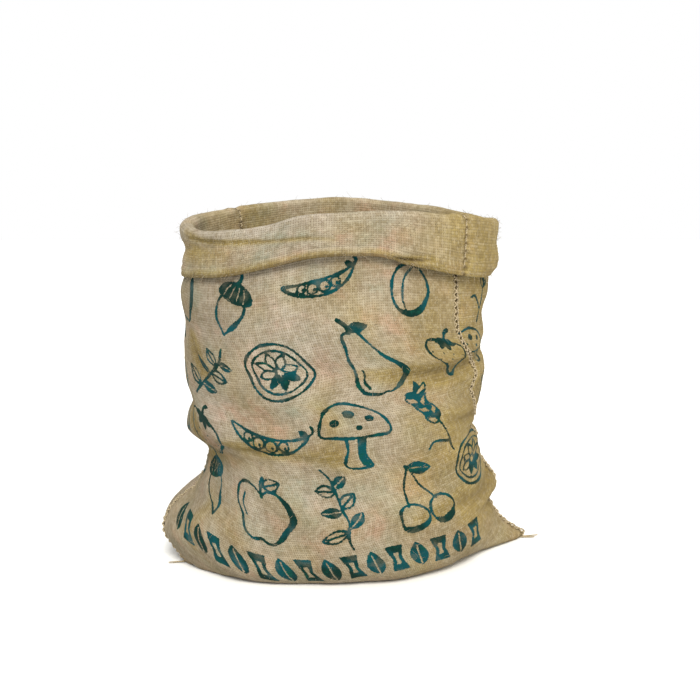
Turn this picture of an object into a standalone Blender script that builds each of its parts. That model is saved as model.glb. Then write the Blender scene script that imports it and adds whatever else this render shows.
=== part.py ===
"""A burlap sack standing on its folded base, open and hollow, its mouth turned down as a cuff.

One length of jute cloth is folded in half across the base and sewn up both sides. Metres, +Z up.
The sack's front faces -Y. Angles run round its upright axis: 0 is the front, 90 the right side,
-90 the left side and 180 the back.
"""
import math

import bpy
import numpy as np

# Driving dimensions, in metres
CLOTH = 0.0020            # thickness of the jute cloth
HEIGHT = 0.3700           # highest point of the rim above the floor
BASE_ROUND = 0.0300       # radius at which the base turns up into the wall
HEM_SWELL = 1.8           # the hem is turned under, so its last rows are this much thicker
HEM_ROUND = 0.0012        # how far the rounded lip of the hem stands past its last row
TWINE_GAP = 0.0004        # clearance between the twine and the cloth
TWINE_HALF = 0.0035       # half the width of a line of stitches
TWINE_CROWN = 0.0020      # height of a line of stitches at its middle
TWINE_EDGE = 0.0008       # and at its two edges
TAIL_LENGTH = 0.0150      # loose end of the twine past each lower corner
TAIL_START = 0.0035       # where it has turned away from the cloth
TAIL_HALF = 0.0016        # half its width
TAIL_THICK = 0.0024       # and its thickness
AXIS_X = -0.01623         # the sack's axis, measured from the middle of its box
AXIS_Y = -0.00133

# How finely the cloth is cut into faces
PANEL_COLUMNS = 31        # columns of faces across each of the two panels
BASE_ROWS = 6             # rows round the turn from base to wall
WALL_ROWS = 23            # rows from there to the roll of the rim
ROLL_ROWS = 5             # rows over the roll
CUFF_ROWS = 6             # rows down the cuff
FIRST_STITCH = 2          # row at which the chain of stitches starts, clear of the floor
ROWS_UNDER_CUFF = 1       # rows of wall above the chain's upper end, hidden by the cuff
TAIL_RINGS = 4            # rings along a loose tail

# How far the cloth stands from the axis on each side, level by level
LEVELS = (
    # height, left,  right, front, back
    (0.000, 0.170, 0.158, 0.143, 0.144),
    (0.030, 0.172, 0.162, 0.144, 0.146),
    (0.050, 0.169, 0.165, 0.146, 0.148),
    (0.070, 0.155, 0.169, 0.147, 0.149),
    (0.090, 0.142, 0.157, 0.146, 0.149),
    (0.110, 0.144, 0.146, 0.144, 0.146),
    (0.130, 0.162, 0.147, 0.145, 0.143),
    (0.145, 0.163, 0.142, 0.147, 0.143),
    (0.165, 0.159, 0.147, 0.148, 0.145),
    (0.185, 0.162, 0.150, 0.147, 0.147),
    (0.205, 0.163, 0.152, 0.146, 0.147),
    (0.220, 0.164, 0.149, 0.145, 0.146),
    (0.240, 0.164, 0.151, 0.144, 0.145),
    (0.260, 0.166, 0.149, 0.143, 0.144),
    (0.280, 0.166, 0.152, 0.141, 0.143),
    (0.300, 0.159, 0.153, 0.139, 0.142),
    (0.330, 0.153, 0.153, 0.136, 0.140),
    (0.372, 0.154, 0.154, 0.134, 0.140),
)

# Where the two side seams run, level by level: the mouth is turned against the base
SEAMS = (
    # height, right, left (degrees)
    (0.000, 94, -69),
    (0.050, 92, -74),
    (0.100, 89, -86),
    (0.140, 79, -98),
    (0.175, 66, -110),
    (0.190, 61, -116),
    (0.202, 65, -119),
    (0.214, 67, -122),
    (0.230, 58, -126),
    (0.250, 52, -129),
    (0.300, 51, -129),
    (0.372, 51, -129),
)

# The two lower corners, where the base fold meets the side seams: the left one is stuffed round and
# pushed up, the right one is drawn out into a flat point
CORNERS = (
    # height, left tip, right tip (distance from the axis)
    (0.000, 0.172, 0.201),
    (0.004, 0.175, 0.204),
    (0.013, 0.181, 0.192),
    (0.022, 0.187, 0.180),
    (0.034, 0.193, 0.170),
    (0.048, 0.189, 0.158),
    (0.060, 0.178, 0.120),
    (0.075, 0.150, 0.100),
    (0.090, 0.120, 0.100),
)
LEFT_SPREAD, LEFT_SHARP = 46, 1.4      # degrees each way over which a corner melts into the wall,
RIGHT_SPREAD, RIGHT_SHARP = 36, 2.2    # and the power that makes its sides hollow
CORNER_INSIDE = 0.35      # how far the inner face follows the outer one into a corner

# What the cloth does between its main folds
FOLD_CLIMB = 0.012        # the folds climb round the sack, because its mouth is turned
LOAD_LUMP = 0.0018        # height of the soft lumps that the load pressed into the wall

# Soft troughs pressed into the wall, each from a start to an end; a ridge has a negative depth
CREASES = (
    # start angle, start height, end angle, end height, depth, half width
    (-95, 0.109, -20, 0.126, 0.0045, 0.009),    # left waist, under the widest fold
    (82, 0.216, 8, 0.204, 0.0050, 0.009),       # right bend, where the seam kinks
    (104, 0.135, 62, 0.143, 0.0055, 0.006),     # right notch
    (92, 0.051, 42, 0.060, 0.0060, 0.010),      # over the right corner
    (-88, 0.166, -58, 0.160, 0.0020, 0.010),    # left shoulder
    (-44, 0.008, -8, 0.006, -0.0090, 0.018),    # foot spread out on the floor, front left
    (-112, 0.232, -160, 0.222, 0.0045, 0.010),  # back, upper left
    (128, 0.160, 188, 0.146, 0.0050, 0.011),    # back, across the middle
    (-118, 0.085, -150, 0.098, 0.0045, 0.010),  # back, lower left
)
ARC = 0.155               # mean radius, to measure along the wall in metres

# The rim and the cuff that hangs from it, all the way round
MOUTH = (
    # angle, rim height, hem height, roll radius, hem stand-off
    (-180, 0.3690, 0.3180, 0.0050, 0.0095),
    (-140, 0.3620, 0.3080, 0.0055, 0.0085),
    (-105, 0.3545, 0.2990, 0.0065, 0.0075),
    (-85, 0.3510, 0.2975, 0.0070, 0.0065),
    (-65, 0.3460, 0.3000, 0.0060, 0.0070),
    (-42, 0.3500, 0.3065, 0.0050, 0.0085),
    (-25, 0.3580, 0.3170, 0.0050, 0.0090),
    (-10, 0.3665, 0.3260, 0.0050, 0.0090),
    (5, 0.3685, 0.3285, 0.0050, 0.0090),
    (16, 0.3695, 0.3270, 0.0050, 0.0095),
    (25, 0.3690, 0.3195, 0.0050, 0.0120),
    (36, 0.3665, 0.3130, 0.0050, 0.0110),
    (55, 0.3625, 0.3030, 0.0055, 0.0110),
    (80, 0.3560, 0.2970, 0.0060, 0.0120),
    (105, 0.3530, 0.2990, 0.0060, 0.0110),
    (140, 0.3610, 0.3110, 0.0055, 0.0100),
)

# Soft troughs pressed into the cuff
CUFF_CREASES = (
    # start angle, start height, end angle, end height, depth, half width
    (-95, 0.322, -8, 0.342, 0.0040, 0.008),     # below the roll, front left
    (21, 0.322, 36, 0.327, 0.0030, 0.004),      # tuck where the hem steps down
    (100, 0.334, 70, 0.328, 0.0020, 0.008),     # right side
    (150, 0.338, 196, 0.343, 0.0025, 0.007),    # back
    (96, 0.298, 68, 0.297, 0.0050, 0.007),      # hem curled under, right side
)


def table(rows):
    """The rows of a table as one array, with a line for each column."""
    return np.array(rows, dtype=float).T


def through(at, places, values):
    """A smooth curve through (places, values), read at `at`: cubic pieces with centred slopes."""
    slopes = np.gradient(values, places)
    low = np.clip(np.searchsorted(places, at, side="right") - 1, 0, len(places) - 2)
    span = places[low + 1] - places[low]
    t = np.clip((at - places[low]) / span, 0.0, 1.0)
    start = (2 * t ** 3 - 3 * t ** 2 + 1) * values[low] + (t ** 3 - 2 * t ** 2 + t) * span * slopes[low]
    end = (3 * t ** 2 - 2 * t ** 3) * values[low + 1] + (t ** 3 - t ** 2) * span * slopes[low + 1]
    return start + end


def around(angle, degrees, values):
    """A smooth curve through a table of angles that closes on itself after a full turn."""
    turns = np.concatenate([degrees - 360, degrees, degrees + 360])
    wrapped = (np.degrees(angle) + 180) % 360 - 180
    return through(wrapped, turns, np.tile(values, 3))


def nearest_turn(angle):
    """An angle brought into the half turn on either side of zero."""
    return (angle + math.pi) % (2 * math.pi) - math.pi


def trough(angle, height, creases):
    """Depth of the soft troughs at a point of the wall: deepest at each start, fading to each end."""
    depth = np.zeros(np.broadcast(angle, height).shape)
    for start_deg, start_z, end_deg, end_z, deep, half_width in creases:
        across = ARC * nearest_turn(angle - math.radians(start_deg))
        run_x = ARC * math.radians(end_deg - start_deg)
        run_z = end_z - start_z
        up = height - start_z
        along = np.clip((across * run_x + up * run_z) / (run_x ** 2 + run_z ** 2), 0.0, 1.0)
        off = np.hypot(across - along * run_x, up - along * run_z)
        depth += deep * (1 - along ** 2) * np.exp(-(off / half_width) ** 2)
    return depth


def seam_angles(height):
    """Angles of the right and the left seam at a height."""
    places, right, left = table(SEAMS)
    return np.radians(through(height, places, right)), np.radians(through(height, places, left))


def oval(angle, height):
    """The wall without its corners and troughs: an oval whose half axes differ on all four sides."""
    places, left, right, front, back = table(LEVELS)
    level = height + FOLD_CLIMB * np.sin(2 * angle) * np.clip(height / 0.1, 0.0, 1.0)
    left, right = through(level, places, left), through(level, places, right)
    front, back = through(height, places, front), through(height, places, back)
    side = (right + left) / 2 + (right - left) / 2 * np.sin(angle)
    face = (front + back) / 2 + (front - back) / 2 * np.cos(angle)
    return 1 / np.sqrt((np.sin(angle) / side) ** 2 + (np.cos(angle) / face) ** 2)


def reach(angle, height, corners=1.0):
    """Distance from the axis to the middle of the cloth's thickness."""
    under = np.clip(1 - height / BASE_ROUND, 0.0, 1.0)
    wall = oval(angle, height) - BASE_ROUND * (1 - np.sqrt(1 - under ** 2))
    lumps = np.sin(5 * angle + 22 * height) * np.sin(2 * angle + 41 * height)
    wall = wall + LOAD_LUMP * lumps * (1 - under) - trough(angle, height, CREASES)
    places, left_tip, right_tip = table(CORNERS)
    right_seam, left_seam = seam_angles(height)
    for seam, tip, spread, sharp in ((right_seam, right_tip, RIGHT_SPREAD, RIGHT_SHARP),
                                     (left_seam, left_tip, LEFT_SPREAD, LEFT_SHARP)):
        near = np.clip(1 - np.abs(nearest_turn(angle - seam)) / math.radians(spread), 0.0, 1.0)
        drawn_out = np.maximum(through(height, places, tip) - wall, 0.0)
        wall = wall + corners * drawn_out * near ** sharp
    return wall


def column_angles(height):
    """Angles of the columns at one height, evenly spaced along the cloth from seam to seam.

    The first column lies on the left seam, and the columns run round the front to the right seam
    and on round the back. The columns next to a seam lie as far from it as its stitches are wide.
    """
    fine = np.radians(np.linspace(-180, 180, 1441))
    radius = reach(fine, height)
    steps = np.hypot(np.diff(radius * np.sin(fine)), np.diff(radius * np.cos(fine)))
    run = np.concatenate([[0.0], np.cumsum(steps)])
    right, left = seam_angles(height)
    at_right = np.interp(right, fine, run)
    at_left = np.interp(left, fine, run)
    stops = []
    for start, length in ((at_left, at_right - at_left), (at_right, run[-1] - at_right + at_left)):
        inner = np.linspace(TWINE_HALF, length - TWINE_HALF, PANEL_COLUMNS - 1)
        stops.append(start + np.concatenate([[0.0], inner]))
    return np.interp(np.concatenate(stops) % run[-1], run, fine)


def on_wall(angle, height, radius):
    """Points at an angle, a height and a distance from the axis."""
    return np.stack([AXIS_X + radius * np.sin(angle), AXIS_Y - radius * np.cos(angle), height], axis=-1)


def cloth_rows(corners=1.0):
    """Rows of points in the middle of the cloth's thickness, from the floor up, over and down."""
    rim_at, rim, hem, roll, stand = table(MOUTH)
    turn = np.linspace(0, math.pi / 2, BASE_ROWS + 1)
    low = BASE_ROUND * (1 - np.cos(turn))
    top = HEIGHT - CLOTH / 2 - roll.mean()
    levels = np.concatenate([low, np.linspace(BASE_ROUND, top, WALL_ROWS + 1)[1:]])
    rows = []
    for level in levels:
        angle = column_angles(level)
        rolled = around(angle, rim_at, roll)
        wall_top = around(angle, rim_at, rim) - CLOTH / 2 - rolled
        height = level + (wall_top - top) * (level / top) ** 2
        rows.append(on_wall(angle, height, reach(angle, height, corners)))
    radius = reach(angle, wall_top, corners)
    for bend in np.linspace(math.pi, 0, ROLL_ROWS + 1)[1:]:
        rows.append(on_wall(angle, wall_top + rolled * np.sin(bend), radius + rolled * (1 + np.cos(bend))))
    for share in np.linspace(0, 1, CUFF_ROWS + 1)[1:]:
        height = wall_top + (around(angle, rim_at, hem) + HEM_ROUND - wall_top) * share
        ease = share * share * (3 - 2 * share)
        proud = 2 * rolled * (1 - ease) + around(angle, rim_at, stand) * ease
        radius = reach(angle, height, corners) + trough(angle, height, CREASES) + proud
        rows.append(on_wall(angle, height, radius - trough(angle, height, CUFF_CREASES)))
    points = np.array(rows)
    points[..., 2] += CLOTH / 2
    return points


def normals(points):
    """Unit normals of a grid of rows and closed columns, pointing to the printed face."""
    around_step = np.roll(points, -1, axis=1) - np.roll(points, 1, axis=1)
    up_step = np.gradient(points, axis=0)
    facing = np.cross(around_step, up_step)
    facing[0] = (0, 0, -1)
    return facing / np.linalg.norm(facing, axis=-1, keepdims=True)


def cloth_faces():
    """The printed and the unprinted face of the cloth, as two grids of points."""
    middle = cloth_rows()
    half = np.full(len(middle), CLOTH / 2)
    half[-2:] *= HEM_SWELL
    half = half[:, None, None]
    printed = middle + half * normals(middle)
    middle = cloth_rows(CORNER_INSIDE)
    plain = middle - half * normals(middle)
    printed[0, :, 2] = 0.0
    plain[0, :, 2] = CLOTH
    return printed, plain


def material(name, colour, roughness):
    """A plain surface with a colour and a roughness."""
    made = bpy.data.materials.new(name)
    made.use_nodes = True
    surface = made.node_tree.nodes["Principled BSDF"]
    surface.inputs["Base Color"].default_value = (*colour, 1)
    surface.inputs["Roughness"].default_value = roughness
    surface.inputs["Metallic"].default_value = 0.0
    return made


def add_solid(name, points, faces, look):
    """One closed solid from its points and faces, shaded smooth but for its sharp edges."""
    mesh = bpy.data.meshes.new(name)
    mesh.from_pydata([tuple(point) for point in points], [], faces)
    mesh.materials.append(look)
    mesh.shade_smooth()
    mesh.set_sharp_from_angle(angle=math.radians(50))
    solid = bpy.data.objects.new(name, mesh)
    bpy.context.collection.objects.link(solid)
    return solid


def grid_triangles(rows, columns, index, flip=False):
    """Two triangles for each cell between neighbouring rows and columns, around a closed ring."""
    faces = []
    for row in range(rows - 1):
        for column in range(columns):
            after = (column + 1) % columns
            a, b = index(row, column), index(row, after)
            c, d = index(row + 1, after), index(row + 1, column)
            pair = [(a, b, c), (a, c, d)]
            faces += [face[::-1] for face in pair] if flip else pair
    return faces


def add_cloth(printed, plain, look):
    """The sack itself: both faces, the rounded lip of the hem and the flat base inside and out."""
    rows, columns = printed.shape[:2]
    count = rows * columns
    middle = (printed[-1] + plain[-1]) / 2
    before = (printed[-2] + plain[-2]) / 2
    onward = (middle - before) / np.linalg.norm(middle - before, axis=-1, keepdims=True)
    lip = middle + HEM_ROUND * onward
    points = np.concatenate([printed.reshape(-1, 3), plain.reshape(-1, 3), lip])
    faces = grid_triangles(rows, columns, lambda r, c: r * columns + c)
    faces += grid_triangles(rows, columns, lambda r, c: count + r * columns + c, flip=True)
    edge = ((rows - 1) * columns, 2 * count, count + (rows - 1) * columns)
    faces += grid_triangles(3, columns, lambda r, c: edge[r] + c)
    faces.append(tuple(range(columns))[::-1])
    faces.append(tuple(range(count, count + columns)))
    return add_solid("sack_cloth", points, faces, look)


def add_twine(name, face, seam_column, rows, side, look, tail=False):
    """A line of stitches that follows one face of the cloth along a seam, with a loose tail if asked."""
    columns = [seam_column - 1, seam_column, seam_column + 1]
    cells = np.ix_(rows, columns)
    outward = side * normals(face)[cells]
    under = face[cells] + TWINE_GAP * outward
    rise = np.array([TWINE_EDGE, TWINE_CROWN, TWINE_EDGE])[None, :, None]
    over = under + rise * outward
    rings = np.concatenate([under, over[:, ::-1]], axis=1)
    if tail:
        rings = np.concatenate([tail_rings(rings[0]), rings])
    count, corners = rings.shape[:2]
    faces = grid_triangles(count, corners, lambda r, c: r * corners + c, flip=side > 0)
    ends = [tuple(range(corners)), tuple(range((count - 1) * corners, count * corners))[::-1]]
    faces += [end if side > 0 else end[::-1] for end in ends]
    return add_solid(name, rings.reshape(-1, 3), faces, look)


def tail_rings(ring):
    """Rings that run outwards from the foot of a line of stitches and sink to the floor, tip first."""
    start = ring.mean(axis=0)
    away = np.array([start[0] - AXIS_X, start[1] - AXIS_Y, 0.0])
    away /= np.linalg.norm(away)
    across = np.array([-away[1], away[0], 0.0])
    across *= np.sign(np.dot(ring[2] - ring[0], across))
    rings = []
    for share in np.linspace(1, 0, TAIL_RINGS):
        height = TAIL_THICK + (start[2] - TAIL_THICK) * (1 - share) ** 2
        centre = start + away * (TAIL_START + (TAIL_LENGTH - TAIL_START) * share)
        centre[2] = height
        wide = TAIL_HALF * (1 - 0.4 * share) * across
        deep = np.array([0.0, 0.0, TAIL_THICK / 2])
        rings.append([centre - wide - deep / 2, centre - deep, centre + wide - deep / 2,
                      centre + wide + deep / 2, centre + deep, centre - wide + deep / 2])
    return np.array(rings)


def build():
    """The whole sack: its cloth, and the two faces of the line of stitches up each side."""
    for old in list(bpy.data.objects):
        bpy.data.objects.remove(old)
    hessian = material("jute hessian", (0.50, 0.36, 0.21), 0.95)
    twine = material("jute twine", (0.60, 0.47, 0.30), 0.9)
    printed, plain = cloth_faces()
    add_cloth(printed, plain, hessian)
    last = len(printed) - 1
    chain_rows = range(FIRST_STITCH, last - ROLL_ROWS - CUFF_ROWS - ROWS_UNDER_CUFF)
    back_rows = range(BASE_ROWS + 2, last + 1)
    for side_name, seam_column in (("left", 0), ("right", PANEL_COLUMNS)):
        add_twine("seam_twine_" + side_name, printed, seam_column, chain_rows, 1, twine, tail=True)
        add_twine("cuff_twine_" + side_name, plain, seam_column, back_rows, -1, twine)


build()
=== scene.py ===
# %% [markdown]
# # A burlap sack with a turned-down cuff
#
# The real sack is one length of jute cloth, 0.50 m wide and 1.20 m long. It is folded in half
# across its base, sewn up both sides with a chain of loops, and its mouth is rolled over and turned
# down as a cuff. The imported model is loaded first, as a fixed frame: it says where everything is,
# and this script only makes the finer cloth, the stitches, the print and the light around it.

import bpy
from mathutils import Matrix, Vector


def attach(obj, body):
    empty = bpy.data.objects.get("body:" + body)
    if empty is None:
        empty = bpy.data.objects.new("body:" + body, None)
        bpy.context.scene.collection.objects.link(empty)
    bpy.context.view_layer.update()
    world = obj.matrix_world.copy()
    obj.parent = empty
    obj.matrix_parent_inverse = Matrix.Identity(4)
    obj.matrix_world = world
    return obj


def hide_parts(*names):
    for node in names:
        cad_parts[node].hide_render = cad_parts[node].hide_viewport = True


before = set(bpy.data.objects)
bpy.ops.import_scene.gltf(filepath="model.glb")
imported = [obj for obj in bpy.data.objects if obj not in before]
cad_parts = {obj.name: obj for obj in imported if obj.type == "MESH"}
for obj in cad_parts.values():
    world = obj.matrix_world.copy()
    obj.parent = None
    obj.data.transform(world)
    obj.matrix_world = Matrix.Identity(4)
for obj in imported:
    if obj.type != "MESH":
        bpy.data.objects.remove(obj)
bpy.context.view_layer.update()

# %% [markdown]
# ## The tools of the lesson
#
# Everything here is worked out with numpy arrays, because a draped cloth is a surface that a few
# short tables and smooth curves describe well. Blender only has to turn the finished grids of
# points into meshes. Angles run round the upright axis: 0 is the front, 90 the right side.

# %% Imports and units
import math

import bpy
import numpy as np

MM = 0.001


def table(rows):
    """The rows of a table as one array, with a line for each column."""
    return np.array(rows, dtype=float).T


def through(at, places, values):
    """A smooth curve through (places, values), read at `at`: cubic pieces with centred slopes."""
    slopes = np.gradient(values, places)
    low = np.clip(np.searchsorted(places, at, side="right") - 1, 0, len(places) - 2)
    span = places[low + 1] - places[low]
    t = np.clip((at - places[low]) / span, 0.0, 1.0)
    start = ((2 * t ** 3 - 3 * t ** 2 + 1) * values[low]
             + (t ** 3 - 2 * t ** 2 + t) * span * slopes[low])
    end = (3 * t ** 2 - 2 * t ** 3) * values[low + 1] + (t ** 3 - t ** 2) * span * slopes[low + 1]
    return start + end


def around(angle, degrees, values):
    """A smooth curve through a table of angles that closes on itself after a full turn."""
    turns = np.concatenate([degrees - 360, degrees, degrees + 360])
    wrapped = (np.degrees(angle) + 180) % 360 - 180
    return through(wrapped, turns, np.tile(values, 3))


def nearest_turn(angle):
    """An angle brought into the half turn on either side of zero."""
    return (angle + math.pi) % (2 * math.pi) - math.pi


def bump_at(distance, width):
    """A soft bump, 1 in the middle and nearly 0 at twice its width."""
    return np.exp(-(distance / width) ** 2)


def smooth_step(value):
    """0 below zero, 1 above one, and a soft rise between."""
    value = np.clip(value, 0, 1)
    return value * value * (3 - 2 * value)


def direction(turn):
    """Cosine and sine of an angle in degrees."""
    return math.cos(math.radians(turn)), math.sin(math.radians(turn))


def unit(vectors, least=0.0):
    """Vectors brought to length 1. None is divided by less than `least`."""
    return vectors / np.maximum(np.linalg.norm(vectors, axis=-1, keepdims=True), least)


def new_object(name, data):
    """A new object in the scene."""
    made = bpy.data.objects.new(name, data)
    bpy.context.scene.collection.objects.link(made)
    return made


# %% [markdown]
# ## The view
#
# The camera stands 1.2 m in front of the sack and a little above it, looking ten degrees down, as
# a person holding a camera at chest height over a low table would. It comes first, so that every
# trial render can be held against the real thing.

# %% The camera
CAMERA_AT = (-0.00573, -1.19955, 0.43)
CAMERA_DOWN = 10.2        # degrees below the horizon
CAMERA_LENS, CAMERA_SENSOR = 58.58, 36.0   # mm

view = bpy.data.cameras.new("camera")
view.lens = CAMERA_LENS
view.sensor_width = CAMERA_SENSOR
camera = new_object("camera", view)
camera.location = CAMERA_AT
camera.rotation_euler = (math.radians(90 - CAMERA_DOWN), 0.0, 0.0)
bpy.context.scene.camera = camera

# %% [markdown]
# ## The shape of the cloth
#
# A filled sack that has been emptied keeps the shape its load gave it: an uneven barrel with a few
# big folds, two sewn corners that stick out at the floor, and a mouth turned against the base. It
# could be sculpted, or dropped in a cloth simulation, but then its size would not match the packed
# solid. So the same tables that shaped the solid are used again here: how far the cloth stands from
# the axis on each side, where the seams run, and which troughs cross it.

# %% How far the cloth stands from its axis
CLOTH = 2.0 * MM          # thickness of the jute cloth
HEIGHT = 370.0 * MM       # highest point of the rim
BASE_ROUND = 30.0 * MM    # radius at which the base turns up into the wall
AXIS_X, AXIS_Y = -16.23 * MM, -1.33 * MM

LEVELS = (
    # height, left,  right, front, back
    (0.000, 0.170, 0.158, 0.143, 0.144),
    (0.030, 0.172, 0.162, 0.144, 0.146),
    (0.050, 0.169, 0.165, 0.146, 0.148),
    (0.070, 0.155, 0.169, 0.147, 0.149),
    (0.090, 0.142, 0.157, 0.146, 0.149),
    (0.110, 0.144, 0.146, 0.144, 0.146),
    (0.130, 0.162, 0.147, 0.145, 0.143),
    (0.145, 0.163, 0.142, 0.147, 0.143),
    (0.165, 0.159, 0.147, 0.148, 0.145),
    (0.185, 0.162, 0.150, 0.147, 0.147),
    (0.205, 0.163, 0.152, 0.146, 0.147),
    (0.220, 0.164, 0.149, 0.145, 0.146),
    (0.240, 0.164, 0.151, 0.144, 0.145),
    (0.260, 0.166, 0.149, 0.143, 0.144),
    (0.280, 0.166, 0.152, 0.141, 0.143),
    (0.300, 0.159, 0.153, 0.139, 0.142),
    (0.330, 0.153, 0.153, 0.136, 0.140),
    (0.372, 0.154, 0.154, 0.134, 0.140),
)
FOLD_CLIMB = 12.0 * MM    # the folds climb round the sack, because its mouth is turned
CLIMB_FULL_AT = 0.1       # height (m) from which on they climb in full
LOAD_LUMP = 1.8 * MM      # soft lumps that the load pressed into the wall


def oval(angle, height):
    """The wall without corners and troughs: an oval whose half axes differ on all four sides."""
    places, left, right, front, back = table(LEVELS)
    level = height + FOLD_CLIMB * np.sin(2 * angle) * np.clip(height / CLIMB_FULL_AT, 0.0, 1.0)
    left, right = through(level, places, left), through(level, places, right)
    front, back = through(height, places, front), through(height, places, back)
    side = (right + left) / 2 + (right - left) / 2 * np.sin(angle)
    face = (front + back) / 2 + (front - back) / 2 * np.cos(angle)
    return 1 / np.sqrt((np.sin(angle) / side) ** 2 + (np.cos(angle) / face) ** 2)


# %% Where the two side seams run, and their corners
SEAMS = (
    # height, right, left (degrees)
    (0.000, 94, -69),
    (0.050, 92, -74),
    (0.100, 89, -86),
    (0.140, 79, -98),
    (0.175, 66, -110),
    (0.190, 61, -116),
    (0.202, 65, -119),
    (0.214, 67, -122),
    (0.230, 58, -126),
    (0.250, 52, -129),
    (0.300, 51, -129),
    (0.372, 51, -129),
)
CORNERS = (
    # height, left tip, right tip (distance from the axis)
    (0.000, 0.172, 0.201),
    (0.004, 0.175, 0.204),
    (0.013, 0.181, 0.192),
    (0.022, 0.187, 0.180),
    (0.034, 0.193, 0.170),
    (0.048, 0.189, 0.158),
    (0.060, 0.178, 0.120),
    (0.075, 0.150, 0.100),
    (0.090, 0.120, 0.100),
)
LEFT_SPREAD, LEFT_SHARP = 46, 1.4
RIGHT_SPREAD, RIGHT_SHARP = 36, 2.2
CORNER_INSIDE = 0.35      # how far the inner face follows the outer one into a corner


def seam_angles(height):
    """Angles of the right and the left seam at a height."""
    places, right, left = table(SEAMS)
    return np.radians(through(height, places, right)), np.radians(through(height, places, left))


# %% The troughs that cross the wall
CREASES = (
    # start angle, start height, end angle, end height, depth, half width
    (-95, 0.109, -20, 0.126, 0.0045, 0.009),    # left waist, under the widest fold
    (82, 0.216, 8, 0.204, 0.0050, 0.009),       # right bend, where the seam kinks
    (104, 0.135, 62, 0.143, 0.0055, 0.006),     # right notch
    (92, 0.051, 42, 0.060, 0.0060, 0.010),      # over the right corner
    (-88, 0.166, -58, 0.160, 0.0020, 0.010),    # left shoulder
    (-44, 0.008, -8, 0.006, -0.0090, 0.018),    # foot spread out on the floor, front left
    (-112, 0.232, -160, 0.222, 0.0045, 0.010),  # back, upper left
    (128, 0.160, 188, 0.146, 0.0050, 0.011),    # back, across the middle
    (-118, 0.085, -150, 0.098, 0.0045, 0.010),  # back, lower left
)
ARC = 0.155               # mean radius, to measure along the wall in metres


def trough(angle, height, creases):
    """Depth of the troughs at a point of the wall: deepest at each start, fading to each end."""
    depth = np.zeros(np.broadcast(angle, height).shape)
    for start_deg, start_z, end_deg, end_z, deep, half_width in creases:
        across = ARC * nearest_turn(angle - math.radians(start_deg))
        run_x = ARC * math.radians(end_deg - start_deg)
        run_z = end_z - start_z
        up = height - start_z
        along = np.clip((across * run_x + up * run_z) / (run_x ** 2 + run_z ** 2), 0.0, 1.0)
        off = np.hypot(across - along * run_x, up - along * run_z)
        depth += deep * (1 - along ** 2) * bump_at(off, half_width)
    return depth


def reach(angle, height, corners=1.0):
    """Distance from the axis to the middle of the cloth's thickness."""
    under = np.clip(1 - height / BASE_ROUND, 0.0, 1.0)
    wall = oval(angle, height) - BASE_ROUND * (1 - np.sqrt(1 - under ** 2))
    lumps = np.sin(5 * angle + 22 * height) * np.sin(2 * angle + 41 * height)
    wall = wall + LOAD_LUMP * lumps * (1 - under) - trough(angle, height, CREASES)
    places, left_tip, right_tip = table(CORNERS)
    right_seam, left_seam = seam_angles(height)
    for seam, tip, spread, sharp in ((right_seam, right_tip, RIGHT_SPREAD, RIGHT_SHARP),
                                     (left_seam, left_tip, LEFT_SPREAD, LEFT_SHARP)):
        near = np.clip(1 - np.abs(nearest_turn(angle - seam)) / math.radians(spread), 0.0, 1.0)
        drawn_out = np.maximum(through(height, places, tip) - wall, 0.0)
        wall = wall + corners * drawn_out * near ** sharp
    return wall


# %% The rim and the cuff
MOUTH = (
    # angle, rim height, hem height, roll radius, hem stand-off
    (-180, 0.3690, 0.3180, 0.0050, 0.0095),
    (-140, 0.3620, 0.3080, 0.0055, 0.0085),
    (-105, 0.3545, 0.2990, 0.0065, 0.0075),
    (-85, 0.3510, 0.2975, 0.0070, 0.0065),
    (-65, 0.3460, 0.3000, 0.0060, 0.0070),
    (-42, 0.3500, 0.3065, 0.0050, 0.0085),
    (-25, 0.3580, 0.3170, 0.0050, 0.0090),
    (-10, 0.3665, 0.3260, 0.0050, 0.0090),
    (5, 0.3685, 0.3285, 0.0050, 0.0090),
    (16, 0.3695, 0.3270, 0.0050, 0.0095),
    (25, 0.3690, 0.3195, 0.0050, 0.0120),
    (36, 0.3665, 0.3130, 0.0050, 0.0110),
    (55, 0.3625, 0.3030, 0.0055, 0.0110),
    (80, 0.3560, 0.2970, 0.0060, 0.0120),
    (105, 0.3530, 0.2990, 0.0060, 0.0110),
    (140, 0.3610, 0.3110, 0.0055, 0.0100),
)
CUFF_CREASES = (
    # start angle, start height, end angle, end height, depth, half width
    (-95, 0.322, -8, 0.342, 0.0040, 0.008),     # below the roll, front left
    (21, 0.322, 36, 0.327, 0.0030, 0.004),      # tuck where the hem steps down
    (100, 0.334, 70, 0.328, 0.0020, 0.008),     # right side
    (150, 0.338, 196, 0.343, 0.0025, 0.007),    # back
    (96, 0.298, 68, 0.297, 0.0050, 0.007),      # hem curled under, right side
)

# %% [markdown]
# ## Two panels and a cuff as grids of points
#
# On the real cloth every warp thread runs from the base up the wall, over the rim and down the
# cuff, and every weft thread runs from seam to seam. The grids follow the threads: a column is a
# line along the warp, a row a line along the weft. They stand about 1.5 mm apart, less than one
# thread, so that a printed line keeps a clean edge. That is too many faces for both sides of the
# cloth, so the side that shows is fine and the other side has every third point, and each piece is
# closed all round.

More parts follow.
